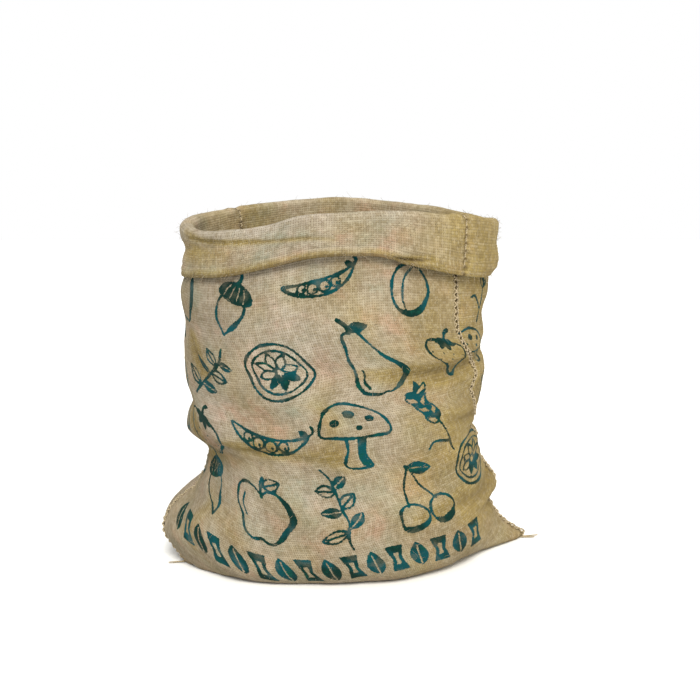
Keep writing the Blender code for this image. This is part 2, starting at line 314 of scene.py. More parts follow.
# %% Rows and columns
FINE = 3                  # cells of the fine face for each cell of the coarse one
COLUMNS = 111 * FINE      # across one panel, from seam to seam
TURN_ROWS = 10 * FINE     # round the turn from base to wall
WALL_ROWS = 70 * FINE     # from there to the edge between wall and cuff piece
FLOOR_ROWS = 3 * FINE     # from the fold of the base to its edge, on the floor
NECK = 12.0 * MM          # wall that belongs to the cuff piece, below the roll
NECK_ROWS = 2 * FINE
ROLL_ROWS = 4 * FINE
CUFF_ROWS = 11 * FINE
HEM_SWELL = 1.8           # the hem is turned under, so it is thicker
HEM_GROOVE = 0.35         # how deep its stitches pull it in, in half thicknesses
HEM_DEEP = 9.0 * MM       # width of the hem
GIRTH_STEPS = 1440        # steps round the sack in which its girth is measured
SHARE_POINTS = 80         # places measured from the middle of a panel to each seam

MIDDLE_SHIFT = table([
    # height, how far the middle of a panel stays behind the middle between its seams (mm)
    (0.000, -34), (0.030, -36), (0.060, -42), (0.090, -44), (0.120, -38), (0.150, -20), (0.180, -2),
    (0.210, 2), (0.250, 16), (0.300, 8), (0.372, 0),
])
rim_at, rim_height, hem_height, roll_radius, hem_stand = table(MOUTH)
TOP = HEIGHT - CLOTH / 2 - roll_radius.mean()


def column_places(height, first, last):
    """Where the columns of one panel stand along the girth, between the places of its two seams."""
    half = (last - first) / 2
    middle = through(height, *MIDDLE_SHIFT) * MM
    share = np.linspace(0, 1, SHARE_POINTS)
    to_first, to_last = (half + middle) * share, (half - middle) * share
    cloth = np.concatenate([-(to_first + (-middle) * share ** 3)[::-1],
                            (to_last + middle * share ** 3)[1:]])
    place = np.concatenate([-to_first[::-1], to_last[1:]]) + first + half + middle
    return np.interp(np.arange(COLUMNS) / COLUMNS * 2 * half - half, cloth, place)


def ring_angles(height):
    """Angles of the columns at one height: front panel from seam to seam, then the back panel."""
    ring = np.radians(np.linspace(-180, 180, GIRTH_STEPS + 1))
    radius = reach(ring, height)
    steps = np.hypot(np.diff(radius * np.sin(ring)), np.diff(radius * np.cos(ring)))
    run = np.concatenate([[0.0], np.cumsum(steps)])
    right, left = seam_angles(height)
    at_right, at_left = np.interp(right, ring, run), np.interp(left, ring, run)
    places = np.concatenate([column_places(height, at_left, at_right),
                             column_places(height, at_right, at_left + run[-1])])
    return np.interp(places % run[-1], run, ring)


def on_wall(angle, height, radius):
    """Points at an angle, a height and a distance from the axis."""
    return np.stack([AXIS_X + radius * np.sin(angle),
                     AXIS_Y - radius * np.cos(angle), height], axis=-1)


def wall_row(level, corners=1.0):
    """One row of the wall. The rows climb with the rim, so that they stay along the weft."""
    angle = ring_angles(level)
    rolled = around(angle, rim_at, roll_radius)
    wall_top = around(angle, rim_at, rim_height) - CLOTH / 2 - rolled
    height = level + (wall_top - TOP) * (level / TOP) ** 2
    return angle, on_wall(angle, height, reach(angle, height, corners))


def raised(points):
    """Rows of points as one array, lifted so that the underside of the cloth lies on the floor."""
    points = np.array(points)
    points[..., 2] += CLOTH / 2
    return points


def wall_rows(corners=1.0):
    """Rows of the wall from the edge of the base to the neck, with their angles."""
    turn = np.linspace(0, math.pi / 2, TURN_ROWS + 1)
    levels = np.concatenate([BASE_ROUND * (1 - np.cos(turn)),
                             np.linspace(BASE_ROUND, TOP - NECK, WALL_ROWS + 1)[1:]])
    rows = [wall_row(level, corners) for level in levels]
    return raised([row[1] for row in rows]), np.array([row[0] for row in rows])


def cuff_rows():
    """Rows of the cuff: up the neck, over the roll and down to the hem."""
    rows = [wall_row(level) for level in np.linspace(TOP - NECK, TOP, NECK_ROWS + 1)]
    points = [row[1] for row in rows]
    angle = rows[-1][0]
    rolled = around(angle, rim_at, roll_radius)
    wall_top = around(angle, rim_at, rim_height) - CLOTH / 2 - rolled
    radius = reach(angle, wall_top)
    for bend in np.linspace(math.pi, 0, ROLL_ROWS + 1)[1:]:
        points.append(on_wall(angle, wall_top + rolled * np.sin(bend),
                              radius + rolled * (1 + np.cos(bend))))
    for share in np.linspace(0, 1, CUFF_ROWS + 1)[1:]:
        height = wall_top + (around(angle, rim_at, hem_height) + CLOTH / 2 - wall_top) * share
        ease = smooth_step(share)
        proud = 2 * rolled * (1 - ease) + around(angle, rim_at, hem_stand) * ease
        radius = reach(angle, height) + trough(angle, height, CREASES) + proud
        points.append(on_wall(angle, height, radius - trough(angle, height, CUFF_CREASES)))
    return raised(points), np.tile(angle, (len(points), 1))


def facing(points):
    """Unit normals of rows and closed columns, pointing to the printed face of the cloth."""
    around_step = np.roll(points, -1, axis=1) - np.roll(points, 1, axis=1)
    return unit(np.cross(around_step, np.gradient(points, axis=0)))


def warp_length(points):
    """How far along the warp each point lies from the first row, in metres."""
    steps = np.linalg.norm(np.diff(points, axis=0), axis=-1)
    return np.concatenate([np.zeros((1, steps.shape[1])), np.cumsum(steps, axis=0)])


def panel_of(ring, side):
    """The columns of one panel, from its first seam to its second, out of a closed ring."""
    if side == "front":
        return ring[:, :COLUMNS + 1]
    return np.concatenate([ring[:, COLUMNS:], ring[:, :1]], axis=1)


PANEL = 0.470             # width of the cloth between its two seams
wall, wall_angles = wall_rows()
wall_inside, _ = wall_rows(CORNER_INSIDE)
cuff, cuff_angles = cuff_rows()
wall_run = warp_length(wall)
NECK_AT = float(wall_run[-1].mean())     # along the warp, from the edge of the base
wall_run = NECK_AT + wall_run - wall_run[-1]
cuff_run = NECK_AT + np.tile(warp_length(cuff).mean(axis=1)[:, None], (1, 2 * COLUMNS))
print("wall and cuff:", wall.shape, cuff.shape, "rows and columns")
print("from the base edge to the neck", round(NECK_AT, 3), "m, to the hem",
      round(float(cuff_run[-1, 0]), 3), "m; girth at the neck",
      round(float(np.linalg.norm(np.diff(wall[-1], axis=0), axis=-1).sum()), 3), "m")

# %% [markdown]
# ## Folds that are too fine for the solid
#
# Jute is stiff, so a sewn seam puckers it between the stitches, the seam allowance shows through as
# a low ridge on each side, a few short wrinkles run out of the main folds, and the whole cloth is a
# little lumpy. These are real shapes and not only bump, so the grid itself is pushed in and out
# along its normals, both faces together. The wrinkles are listed one by one on the flat cloth. The
# lumps come from seeded random heights on a coarse lattice with a smooth curve between them.

# %% Fine relief
STITCH = 6.5 * MM         # length of one stitch
SEAM_VALLEY, SEAM_WIDE = 1.4 * MM, 3.5 * MM
PUCKER, PUCKER_WIDE = 0.8 * MM, 6.0 * MM
ALLOWANCE, ALLOWANCE_AT, ALLOWANCE_WIDE = 0.8 * MM, 10.0 * MM, 4.5 * MM
HELD_LUMPS, HELD_WRINKLES = 18 * MM, 6 * MM   # this near a seam its stitches hold the cloth
LATTICE = 256             # heights along each side of a seeded lattice
BACK_SHIFT = 2.0          # where the back panel reads the lattice, so that it differs
UNEVEN = (
    # size along the weft, size along the warp, height (mm), seed
    (66, 58, 1.6, 7), (33, 29, 1.2, 3), (13, 15, 0.42, 5), (6, 45, 0.18, 8),
)
WRINKLES = {
    # from (across, up) to (across, up) on the flat cloth, height, half width (mm).
    # The height of a valley is negative.
    "front": (
        (251, 177, 218, 112, -1.2, 2.8), (267, 174, 237, 110, -1.3, 2.8),
        (282, 170, 258, 116, -1.1, 2.8), (70, 136, 160, 160, -1.0, 3.5),
        (58, 170, 140, 190, 0.9, 4.0), (30, 120, 74, 104, -0.9, 4.0),
        (515, 73, 336, 100, -4.8, 6.5), (505, 76, 380, 94, -2.6, 11.0),
        (508, 110, 384, 122, 4.2, 9.0), (484, 246, 362, 249, -3.8, 4.5),
        (420, 248, 318, 262, -1.2, 6.0), (470, 262, 372, 270, 1.8, 7.0),
        (470, 176, 410, 190, -2.0, 6.0), (140, 187, 246, 193, -2.8, 4.5),
        (222, 191, 304, 170, -1.4, 5.0), (148, 306, 170, 264, -1.6, 7.0),
        (462, 296, 402, 282, -0.9, 4.0), (398, 262, 300, 214, -0.9, 6.0),
        (20, 322, 78, 350, -0.9, 4.5), (24, 246, 66, 226, -0.8, 4.0), (50, 44, 140, 62, -0.9, 5.0),
        (122, 398, 130, 326, -0.8, 5.5), (214, 396, 206, 340, -0.6, 5.0),
        (420, 396, 404, 330, -1.0, 5.0), (210, 60, 300, 74, -0.7, 6.0),
    ),
    "back": (
        (60, 268, 150, 240, -1.2, 4.5), (90, 150, 190, 132, -1.1, 5.0),
        (250, 180, 330, 212, -1.0, 4.5), (400, 90, 330, 122, -1.2, 4.5),
        (380, 330, 300, 352, -0.9, 5.0), (130, 396, 120, 330, -0.8, 5.5),
        (300, 398, 310, 340, -0.8, 5.5), (60, 70, 140, 52, -0.9, 5.0),
    ),
    "front cuff": (
        (384, 474, 433, 466.5, -3.0, 1.7), (394, 475, 440, 471.0, 1.8, 2.2),
        (30, 455, 86, 440, -0.8, 4.0), (150, 428, 268, 441.5, -1.3, 2.4),
        (240, 438.5, 338, 455.5, -1.1, 2.4), (130, 470, 200, 452, -0.7, 5.0),
        (250, 428, 330, 438, -0.7, 5.0), (446, 462, 464, 448, -0.9, 2.0),
        (440, 426, 462, 434, -0.8, 2.2),
    ),
    "back cuff": (
        (8, 436, 26, 428, -1.0, 2.2), (10, 452, 30, 462, -0.9, 2.4),
        (120, 440, 200, 462, -0.9, 5.0), (300, 428, 380, 446, -0.9, 5.0),
    ),
}

# Olive folds: partly stain, partly painted shade where the folds fall in shade.
FOLD_STAIN_AND_SHADE = {
    # from (across, up) to (across, up) on the flat cloth, how yellow and dark, half width (mm)
    "front": (
        (486, 248, 372, 250, 0.75, 7.5), (430, 248, 312, 262, 0.50, 8.5),
        (512, 64, 386, 98, 1.25, 14.0), (412, 102, 330, 96, 0.55, 6.5),
        (150, 194, 240, 197, 0.70, 8.0), (205, 196, 308, 178, 0.45, 8.5),
        (150, 316, 166, 262, 1.00, 12.0), (96, 216, 128, 188, 0.85, 13.0),
        (296, 262, 286, 160, 0.30, 14.0), (104, 120, 66, 40, 0.35, 14.0),
        (500, 175, 404, 189, 1.50, 11.0),
    ),
    "back": (
        (60, 268, 150, 240, 0.60, 8.0), (90, 150, 190, 132, 0.55, 9.0),
        (400, 90, 330, 122, 0.60, 9.0),
    ),
    "front cuff": (
        (146, 427, 270, 441.5, 0.75, 3.2), (236, 438, 342, 456, 0.60, 3.2),
        (150, 450, 240, 454, 0.40, 11.0), (380, 475, 436, 466, 0.60, 3.0),
    ),
    "back cuff": (
        (120, 440, 200, 462, 0.50, 5.0), (300, 428, 380, 446, 0.45, 5.0),
    ),
}


def uneven(u, v, wide, tall, seed):
    """Smooth random heights from -1 to 1 over the flat cloth: a seeded lattice, smoothly joined."""
    lattice = np.random.default_rng(seed).uniform(-1, 1, (LATTICE, LATTICE))
    across, up = u / wide + LATTICE // 2, v / tall + LATTICE // 2
    column, row = np.floor(across).astype(int), np.floor(up).astype(int)
    a, b = across - column, up - row
    a, b = smooth_step(a), smooth_step(b)
    left, right = column % LATTICE, (column + 1) % LATTICE
    lower, upper = (lattice[line, left] * (1 - a) + lattice[line, right] * a
                    for line in (row % LATTICE, (row + 1) % LATTICE))
    return lower * (1 - b) + upper * b


def wrinkles(u, v, rows):
    """Height of the wrinkles at a point of the flat cloth. Each fades out at both of its ends."""
    height = np.zeros(np.broadcast(u, v).shape)
    for u0, v0, u1, v1, high, half_width in rows:
        over, up = u / MM - u0, v / MM - v0
        run_u, run_v = u1 - u0, v1 - v0
        share = np.clip((over * run_u + up * run_v) / (run_u ** 2 + run_v ** 2), 0, 1)
        off = np.hypot(over - share * run_u, up - share * run_v)
        height += high * MM * bump_at(off, half_width) * np.sin(math.pi * share) ** 0.6
    return height


def relief(u, v, side, lumpy=1.0, shown=1.0):
    """How far the cloth is pushed towards its printed face at a point of the flat cloth.

    `lumpy` scales the lumps, and `shown` is -1 where the other face is the one that shows.
    """
    from_seam = np.minimum(u, PANEL - u)
    sewn = -SEAM_VALLEY * bump_at(from_seam, SEAM_WIDE)
    sewn = sewn + PUCKER * np.cos(2 * math.pi * v / STITCH) * bump_at(from_seam, PUCKER_WIDE)
    sewn = sewn + ALLOWANCE * bump_at(from_seam - ALLOWANCE_AT, ALLOWANCE_WIDE)
    rows = WRINKLES[side] + WRINKLES[side + " cuff"]
    calm = smooth_step(from_seam / HELD_LUMPS)
    shift = BACK_SHIFT if side == "back" else 0.0
    lumps = sum(height * MM * uneven(u + shift, v, wide * MM, tall * MM, seed)
                for wide, tall, height, seed in UNEVEN)
    near = smooth_step(from_seam / HELD_WRINKLES)
    return shown * (sewn + near * wrinkles(u, v, rows)) + calm * lumpy * lumps


# %% [markdown]
# ## From grids to closed sheets
#
# A single face of cloth would look like paper from the edge and let light through. So each piece
# gets a second face on its other side, and rows of faces that join the two around the edge. The
# flat position of every point, in metres of cloth, goes into a UV map: the weave and the print are
# both drawn in those coordinates, so they bend with the cloth as thread and ink do.

# %% One closed piece of cloth
BODY = "root"
MAP_EDGE, MAP_SPLIT = 0.004, 0.80   # layout of the second map, in which a finish can be baked
SHARP_FROM = 55           # degrees between two faces from which on their edge is drawn sharp


def sheet_faces(rows, columns, flip):
    """Faces of both grids of a sheet, and the strips that join them round its edge."""
    wide, coarse_wide = columns + 1, columns // FINE + 1
    start = (rows + 1) * wide
    r, c = np.mgrid[0:rows, 0:columns]
    at = (r * wide + c).ravel()
    fine = np.stack([at, at + 1, at + wide + 1, at + wide], axis=1)
    r, c = np.mgrid[0:rows // FINE, 0:columns // FINE]
    at = (start + r * coarse_wide + c).ravel()
    coarse = np.stack([at, at + coarse_wide, at + coarse_wide + 1, at + 1], axis=1)
    strips = []
    for j in range(columns // FINE):
        low = [j * FINE + k for k in range(FINE, -1, -1)]
        high = [rows * wide + j * FINE + k for k in range(FINE + 1)]
        top = start + rows // FINE * coarse_wide
        strips.append(low + [start + j, start + j + 1])
        strips.append(high + [top + j + 1, top + j])
    for i in range(rows // FINE):
        left = [(i * FINE + k) * wide for k in range(FINE + 1)]
        right = [(i * FINE + k) * wide + columns for k in range(FINE, -1, -1)]
        near, far = start + i * coarse_wide, start + (i + 1) * coarse_wide
        strips.append(left + [far, near])
        strips.append(right + [near + coarse_wide - 1, far + coarse_wide - 1])
    faces = fine.tolist() + coarse.tolist() + strips
    return [face[::-1] for face in faces] if flip else faces


def add_map(mesh, name, places):
    """A UV map from one (u, v) place for each point of the mesh."""
    corner_points = np.empty(len(mesh.loops), dtype=np.int64)
    mesh.loops.foreach_get("vertex_index", corner_points)
    made = mesh.uv_layers.new(name=name)
    made.uv.foreach_set("vector", places[corner_points].astype(np.float32).ravel())


def add_values(mesh, name, values):
    """A number for each point of the mesh, which a material can read by name."""
    made = mesh.attributes.new(name, "FLOAT", "POINT")
    made.data.foreach_set("value", values.astype(np.float32).ravel())


def add_sheet(name, fine, other, flat, values, flip=False):
    """One closed sheet from its fine face and its other face, with its flat map and its values."""
    rows, columns = fine.shape[0] - 1, fine.shape[1] - 1
    coarse = other[::FINE, ::FINE]
    points = np.concatenate([fine.reshape(-1, 3), coarse.reshape(-1, 3)])
    mesh = bpy.data.meshes.new(name)
    mesh.from_pydata(points.tolist(), [], sheet_faces(rows, columns, flip))
    places = np.concatenate([flat.reshape(-1, 2), flat[::FINE, ::FINE].reshape(-1, 2)])
    add_map(mesh, "flat", places)
    spot = (places - places.min(axis=0)) / (places.max(axis=0) - places.min(axis=0))
    spot = MAP_EDGE + (1 - 2 * MAP_EDGE) * spot
    is_fine = np.arange(len(points)) < fine.shape[0] * fine.shape[1]
    high = np.where(is_fine, spot[:, 1] * MAP_SPLIT, MAP_SPLIT + spot[:, 1] * (1 - MAP_SPLIT))
    add_map(mesh, "OFBake", np.stack([spot[:, 0] * np.where(is_fine, 1.0, 0.5), high], axis=1))
    mesh.uv_layers["flat"].active_render = True
    for key, (on_fine, on_other) in values.items():
        add_values(mesh, key, np.concatenate([on_fine.ravel(), on_other[::FINE, ::FINE].ravel()]))
    mesh.shade_smooth()
    mesh.set_sharp_from_angle(angle=math.radians(SHARP_FROM))
    piece = new_object(name, mesh)
    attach(piece, BODY)
    print(name, "has", sum(len(p.vertices) - 2 for p in mesh.polygons), "triangles")
    return piece

# %% [markdown]
# ## The printed design
#
# A sack like this is screen printed in one dark teal ink: loose drawings of what it might carry,
# and one bold band near the floor. The drawings here are plain generic ones, fruit, pea pods,
# mushrooms, acorns, wheat and leaf sprigs in staggered rows, and the band is a row of leaves and
# blocks. An image texture is not allowed, and line work made of separate meshes would float over
# the cloth. So each point of the cloth gets one number instead: how far it lies from the nearest
# edge of ink, below zero inside the ink. The material turns that distance into a line whose edge
# the threads can break up.

# %% Tools for drawing lines
FAR = 4.0 * MM            # the distance to ink is not measured past this
CURVE_STEPS = 8           # steps along a curve from one of its points to the next


def smooth_line(points, closed=False):
    """A smooth curve through a few points (in units of the drawing), as a dense line."""
    points = np.array(points, dtype=float)
    if closed:
        points = np.concatenate([points[-1:], points, points[:2]])
    else:
        first, last = 2 * points[0] - points[1], 2 * points[-1] - points[-2]
        points = np.concatenate([[first], points, [last]])
    t = np.linspace(0, 1, CURVE_STEPS + 1)[:-1, None]
    spans = []
    for before, a, b, after in zip(points, points[1:], points[2:], points[3:]):
        spans.append(0.5 * (2 * a + (b - before) * t + (2 * before - 5 * a + 4 * b - after) * t ** 2
                            + (3 * a - before - 3 * b + after) * t ** 3))
    line = np.concatenate(spans)
    return np.concatenate([line, line[:1] if closed else points[-2:-1]])


def mirrored(rows):
    """A closed outline from (height, half width) rows, the same on both sides."""
    right = [(wide, up) for up, wide in rows]
    left = [(-wide, up) for up, wide in rows[::-1] if wide > 0]
    return smooth_line(right + left, closed=True)


def ring(x, y, wide, tall, turn=0.0, count=40):
    """A closed oval round (x, y), turned by `turn` degrees."""
    t = np.linspace(0, 2 * math.pi, count + 1)
    c, s = direction(turn)
    across, up = wide * np.cos(t), tall * np.sin(t)
    return np.stack([x + across * c - up * s, y + across * s + up * c], axis=1)


def leaf(x, y, length, wide, turn):
    """A pointed leaf that grows from (x, y) in the direction `turn`, in degrees."""
    t = np.linspace(0, 1, 15)
    half = wide * np.sin(math.pi * t) ** 0.8 * (1.15 - 0.3 * t)
    c, s = direction(turn)
    along = np.concatenate([t, t[::-1]]) * length
    side = np.concatenate([half, -half[::-1]])
    return np.stack([x + along * c - side * s, y + along * s + side * c], axis=1)


def vein(x, y, length, turn, start=0.08, stop=0.85):
    """The middle line of such a leaf."""
    c, s = direction(turn)
    return np.array([[x + length * t * c, y + length * t * s] for t in (start, stop)])


# %% The drawings: each is a list of (kind, line, weight), in units of half the drawing's height
LINE, BOLD, THIN = 1.5 * MM, 2.1 * MM, 1.15 * MM   # half widths of the drawn lines


def crescent(outline, first, last, inset):
    """A dark crescent along part of an outline: where a drawing is shaded."""
    count = len(outline) - 1
    part = outline[[int(i) % count for i in np.linspace(first * count, last * count, 24)]]
    centre = outline[:-1].mean(axis=0)
    depth = inset * np.sin(np.linspace(0, math.pi, 24))[:, None]
    return np.concatenate([part, (part + (centre - part) * depth)[::-1]])


def stroke(points, weight=LINE):
    """A drawn line through a few points."""
    return ("line", smooth_line(points), weight)


def solid(outline):
    """An outline filled with ink."""
    return ("solid", outline, 0)


def round_fruit():
    body = mirrored([(0.52, 0.0), (0.66, 0.22), (0.66, 0.55), (0.38, 0.86), (-0.10, 0.90),
                     (-0.62, 0.62), (-0.86, 0.26), (-0.78, 0.0)])
    return [("line", body, LINE), solid(crescent(body, 0.12, 0.42, 0.20)),
            stroke([(0.0, 0.46), (0.03, 0.78), (0.14, 1.04)], BOLD),
            ("line", leaf(0.10, 0.78, 0.62, 0.17, 24), THIN),
            ("line", vein(0.10, 0.78, 0.62, 24), THIN),
            stroke([(-0.62, 0.30), (-0.70, -0.05), (-0.60, -0.36)], THIN)]


def pear():
    body = mirrored([(0.80, 0.0), (0.76, 0.20), (0.42, 0.31), (0.08, 0.46), (-0.34, 0.66),
                     (-0.76, 0.54), (-0.96, 0.16), (-0.94, 0.0)])
    return [("line", body, LINE), solid(crescent(body, 0.16, 0.44, 0.26)),
            stroke([(0.0, 0.78), (0.02, 0.96), (-0.10, 1.14)], BOLD),
            solid(leaf(0.02, 0.90, 0.55, 0.13, -8)),
            stroke([(-0.42, -0.20), (-0.50, -0.48), (-0.38, -0.72)], THIN)]


def cherries():
    parts = []
    for x, y, bend in ((-0.50, -0.52, -0.42), (0.42, -0.62, 0.30)):
        fruit = ring(x, y, 0.42, 0.40)
        parts += [("line", fruit, LINE), solid(crescent(fruit, 0.55, 0.98, 0.42)),
                  stroke([(x, y + 0.34), (bend * 0.7, 0.30), (0.06, 0.92)], THIN)]
    return parts + [solid(leaf(0.06, 0.90, 0.74, 0.20, -22)),
                    ("gap", vein(0.06, 0.90, 0.74, -22), 0.7 * MM), ("dot", (0.06, 0.94), 2.2 * MM)]


def mushroom():
    cap = smooth_line([(-0.92, 0.02), (-0.72, 0.56), (-0.10, 0.86), (0.60, 0.66), (0.92, 0.10),
                       (0.55, -0.06), (0.0, -0.12), (-0.55, -0.08)], closed=True)
    parts = [("line", cap, LINE),
             stroke([(-0.24, -0.10), (-0.20, -0.50), (-0.34, -0.88), (0.0, -0.98),
                     (0.36, -0.86), (0.22, -0.48), (0.26, -0.10)]),
             solid(smooth_line([(0.06, -0.14), (0.24, -0.14), (0.20, -0.50), (0.32, -0.84),
                                (0.12, -0.88), (0.06, -0.50)], closed=True))]
    for x, y, size in ((-0.50, 0.30, 0.13), (-0.06, 0.52, 0.16),
                       (0.42, 0.40, 0.12), (0.12, 0.14, 0.09)):
        parts.append(solid(ring(x, y, size, size * 0.75, 15)))
    return parts


def wheat():
    parts = [stroke([(-0.14, -1.10), (-0.02, -0.30), (0.06, 0.72)], THIN)]
    for k in range(6):
        y = -0.12 + 0.155 * k
        x = -0.01 + 0.012 * k
        parts.append(("solid" if k % 2 else "line", leaf(x, y, 0.36, 0.085, 128), THIN))
        parts.append(("line" if k % 2 else "solid", leaf(x, y + 0.03, 0.36, 0.085, 46), THIN))
    parts.append(solid(leaf(0.06, 0.78, 0.34, 0.08, 86)))
    return parts + [stroke([(-0.10, -0.72), (-0.42, -0.46), (-0.62, -0.52)])]


def pea_pod():
    pod = smooth_line([(-1.10, 0.34), (-0.70, -0.06), (0.0, -0.30), (0.70, -0.12), (1.12, 0.32),
                       (0.66, 0.20), (0.0, 0.16), (-0.62, 0.24)], closed=True)
    parts = [("line", pod, LINE), stroke([(1.10, 0.32), (1.24, 0.46), (1.20, 0.60)]),
             solid(leaf(1.12, 0.34, 0.30, 0.09, 150))]
    for x, y, size in ((-0.56, 0.08, 0.13), (-0.24, -0.02, 0.16),
                       (0.12, -0.05, 0.17), (0.47, 0.0, 0.14)):
        parts += [("line", ring(x, y, size, size), THIN), ("dot", (x + 0.04, y - 0.04), 1.7 * MM)]
    return parts


def strawberry():
    body = mirrored([(0.50, 0.0), (0.54, 0.34), (0.40, 0.72), (0.0, 0.74), (-0.52, 0.42),
                     (-0.94, 0.10), (-0.98, 0.0)])
    parts = [("line", body, LINE), stroke([(0.0, 0.60), (0.06, 0.86), (0.20, 1.0)], BOLD)]
    for turn in (200, 240, 292, 340):
        parts.append(solid(leaf(0.0, 0.60, 0.46, 0.12, turn)))
    for row, count in ((0.02, 4), (-0.28, 3), (-0.58, 2)):
        for x in np.linspace(-0.15 * count, 0.15 * count, count):
            parts.append(("dot", (x, row), 1.3 * MM))
    return parts


def acorn():
    nut = mirrored([(0.20, 0.0), (0.20, 0.40), (-0.10, 0.52), (-0.56, 0.36), (-0.86, 0.10),
                    (-0.98, 0.0)])
    cup = smooth_line([(-0.66, 0.18), (-0.54, 0.52), (0.0, 0.70), (0.54, 0.52), (0.66, 0.18),
                       (0.0, 0.06)], closed=True)
    parts = [("line", nut, LINE), solid(crescent(nut, 0.20, 0.44, 0.30)), solid(cup),
             stroke([(0.0, 0.68), (0.04, 0.90), (-0.08, 1.02)], BOLD)]
    for x in (-0.36, -0.12, 0.12, 0.36):
        parts.append(("gap", smooth_line([(x * 1.1, 0.18), (x, 0.38), (x * 0.7, 0.56)]), 0.65 * MM))
    return parts


def citrus_slice():
    parts = [("line", ring(0, 0, 0.92, 0.86), LINE), ("line", ring(0, 0, 0.72, 0.66), THIN)]
    for k in range(8):
        turn = 360 / 8 * k + 10
        c, s = direction(turn)
        kind = "solid" if k in (5, 6, 7) else "line"
        parts.append((kind, leaf(0.10 * c, 0.10 * s, 0.50, 0.13, turn), THIN))
    return parts


def leaf_sprig():
    parts = [stroke([(-0.50, -0.96), (-0.10, -0.20), (0.36, 0.50), (0.46, 0.98)])]
    for x, y, length, turn, filled in ((-0.30, -0.56, 0.66, 160, 0), (-0.26, -0.48, 0.62, 8, 1),
                                       (-0.02, -0.06, 0.62, 148, 1), (0.04, 0.02, 0.58, 2, 0),
                                       (0.28, 0.38, 0.50, 138, 0), (0.34, 0.46, 0.46, 4, 1)):
        kind, vein_kind, weight = ("solid", "gap", 0.7 * MM) if filled else ("line", "line", THIN)
        parts.append((kind, leaf(x, y, length, 0.15, turn), THIN))
        parts.append((vein_kind, vein(x, y, length, turn), weight))
    return parts


def plum():
    body = ring(0, -0.10, 0.66, 0.80, 12)
    return [("line", body, LINE), solid(crescent(body, 0.60, 1.05, 0.24)),
            stroke([(0.06, 0.66), (-0.26, 0.20), (-0.24, -0.40), (-0.02, -0.84)], THIN),
            stroke([(0.02, 0.66), (0.06, 0.90), (0.20, 1.06)], BOLD),
            ("line", leaf(0.08, 0.80, 0.66, 0.18, 168), THIN),
            ("line", vein(0.08, 0.80, 0.66, 168), THIN)]


# %% [markdown]
# ## Laying the design out
#
# The drawings stand in rows across each panel, every second row shifted by half a step, and each
# is turned and sized a little differently, as a hand-cut screen would have them. Both panels carry
# the same print, because the cloth is one length and was printed flat. The band follows a shallow
# curve near the fold of the base.

# %% Where each drawing goes on the flat panel
PRINT = (
    # drawing, across, up the warp, half height (mm), turned (degrees)
    (leaf_sprig, 152, 412, 34, -50), (plum, 330, 410, 30, 20),
    (wheat, 52, 352, 38, -14), (round_fruit, 138, 350, 33, 6), (acorn, 226, 346, 32, -24),
    (pea_pod, 318, 352, 32, 12), (plum, 408, 348, 31, -10),
    (mushroom, 18, 280, 31, 8), (cherries, 94, 280, 35, -6), (leaf_sprig, 174, 274, 38, -22),
    (citrus_slice, 258, 276, 34, 0), (pear, 346, 276, 39, 14), (strawberry, 438, 276, 32, -12),
    (plum, 52, 204, 34, 16), (strawberry, 134, 200, 35, -18), (pea_pod, 222, 202, 38, -12),
    (mushroom, 312, 200, 38, -8), (wheat, 398, 200, 44, 24),
    (pear, 14, 130, 36, -12), (acorn, 96, 126, 35, 20), (round_fruit, 182, 124, 37, -10),
    (leaf_sprig, 268, 126, 40, 30), (cherries, 352, 122, 37, 8), (citrus_slice, 438, 128, 33, 0),
)
BAND_MIDDLE, BAND_LOW, BAND_RISE = 212.0, 62.0, -8.0    # mm: its middle, and how it curves up
BAND_STEP, BAND_TALL, BAND_FIRST, BAND_LAST = 24.0, 15.5, -7, 8
DRAWING_REACH = 1.6       # no drawing reaches further than this from its middle, in half heights
HAND_SWAY = 0.22          # how much a drawn line swells and thins along its way


def band_parts():
    """The bold band: upright leaves and waisted blocks by turns."""
    parts = []
    for k in range(BAND_FIRST, BAND_LAST + 1):
        x = BAND_MIDDLE + k * BAND_STEP
        slope = 2 * BAND_RISE * k / BAND_LAST ** 2 / BAND_STEP
        y = BAND_LOW + BAND_RISE * (k / BAND_LAST) ** 2
        place = (x, y, math.degrees(math.atan(slope)))
        if k % 2:
            shapes = [solid(leaf(0, -1.0, 2.0, 0.62, 90)),
                      ("gap", vein(0, -1.0, 2.0, 90), 0.9 * MM)]
        else:
            block = np.array([(-0.62, 1.0), (0.62, 1.0), (0.34, 0), (0.62, -1.0), (-0.62, -1.0),
                              (-0.34, 0), (-0.62, 1.0)])
            shapes = [solid(block), ("hole", block * (0.30, 0.45), 0)]
        parts.append((shapes, place, BAND_TALL))
    return parts


def to_cloth(points, x, y, turn, size):
    """Points of a drawing moved to their place on the flat cloth, in metres."""
    c, s = direction(turn)
    points = np.atleast_2d(points) * size
    return np.stack([x + points[:, 0] * c - points[:, 1] * s,
                     y + points[:, 0] * s + points[:, 1] * c], axis=1) * MM


def line_distance(at, line):
    """Distance from each point to a line through dense points."""
    start, step = line[:-1], np.diff(line, axis=0)
    length = np.maximum((step ** 2).sum(axis=1), 1e-16)
    gap = at[:, None] - start
    share = np.clip((gap * step).sum(axis=2) / length, 0, 1)
    return np.linalg.norm(gap - share[..., None] * step, axis=2).min(axis=1)


def inside(at, outline):
    """Which points lie inside a closed outline: a level line to the right crosses it an odd number
    of times."""
    x, y = at[:, 0, None], at[:, 1, None]
    (x0, y0), (x1, y1) = outline[:-1].T, outline[1:].T
    level = np.where(y1 == y0, 1e-12, y1 - y0)
    crosses = ((y0 > y) != (y1 > y)) & (x < x0 + (y - y0) * (x1 - x0) / level)
    return crosses.sum(axis=1) % 2 == 1


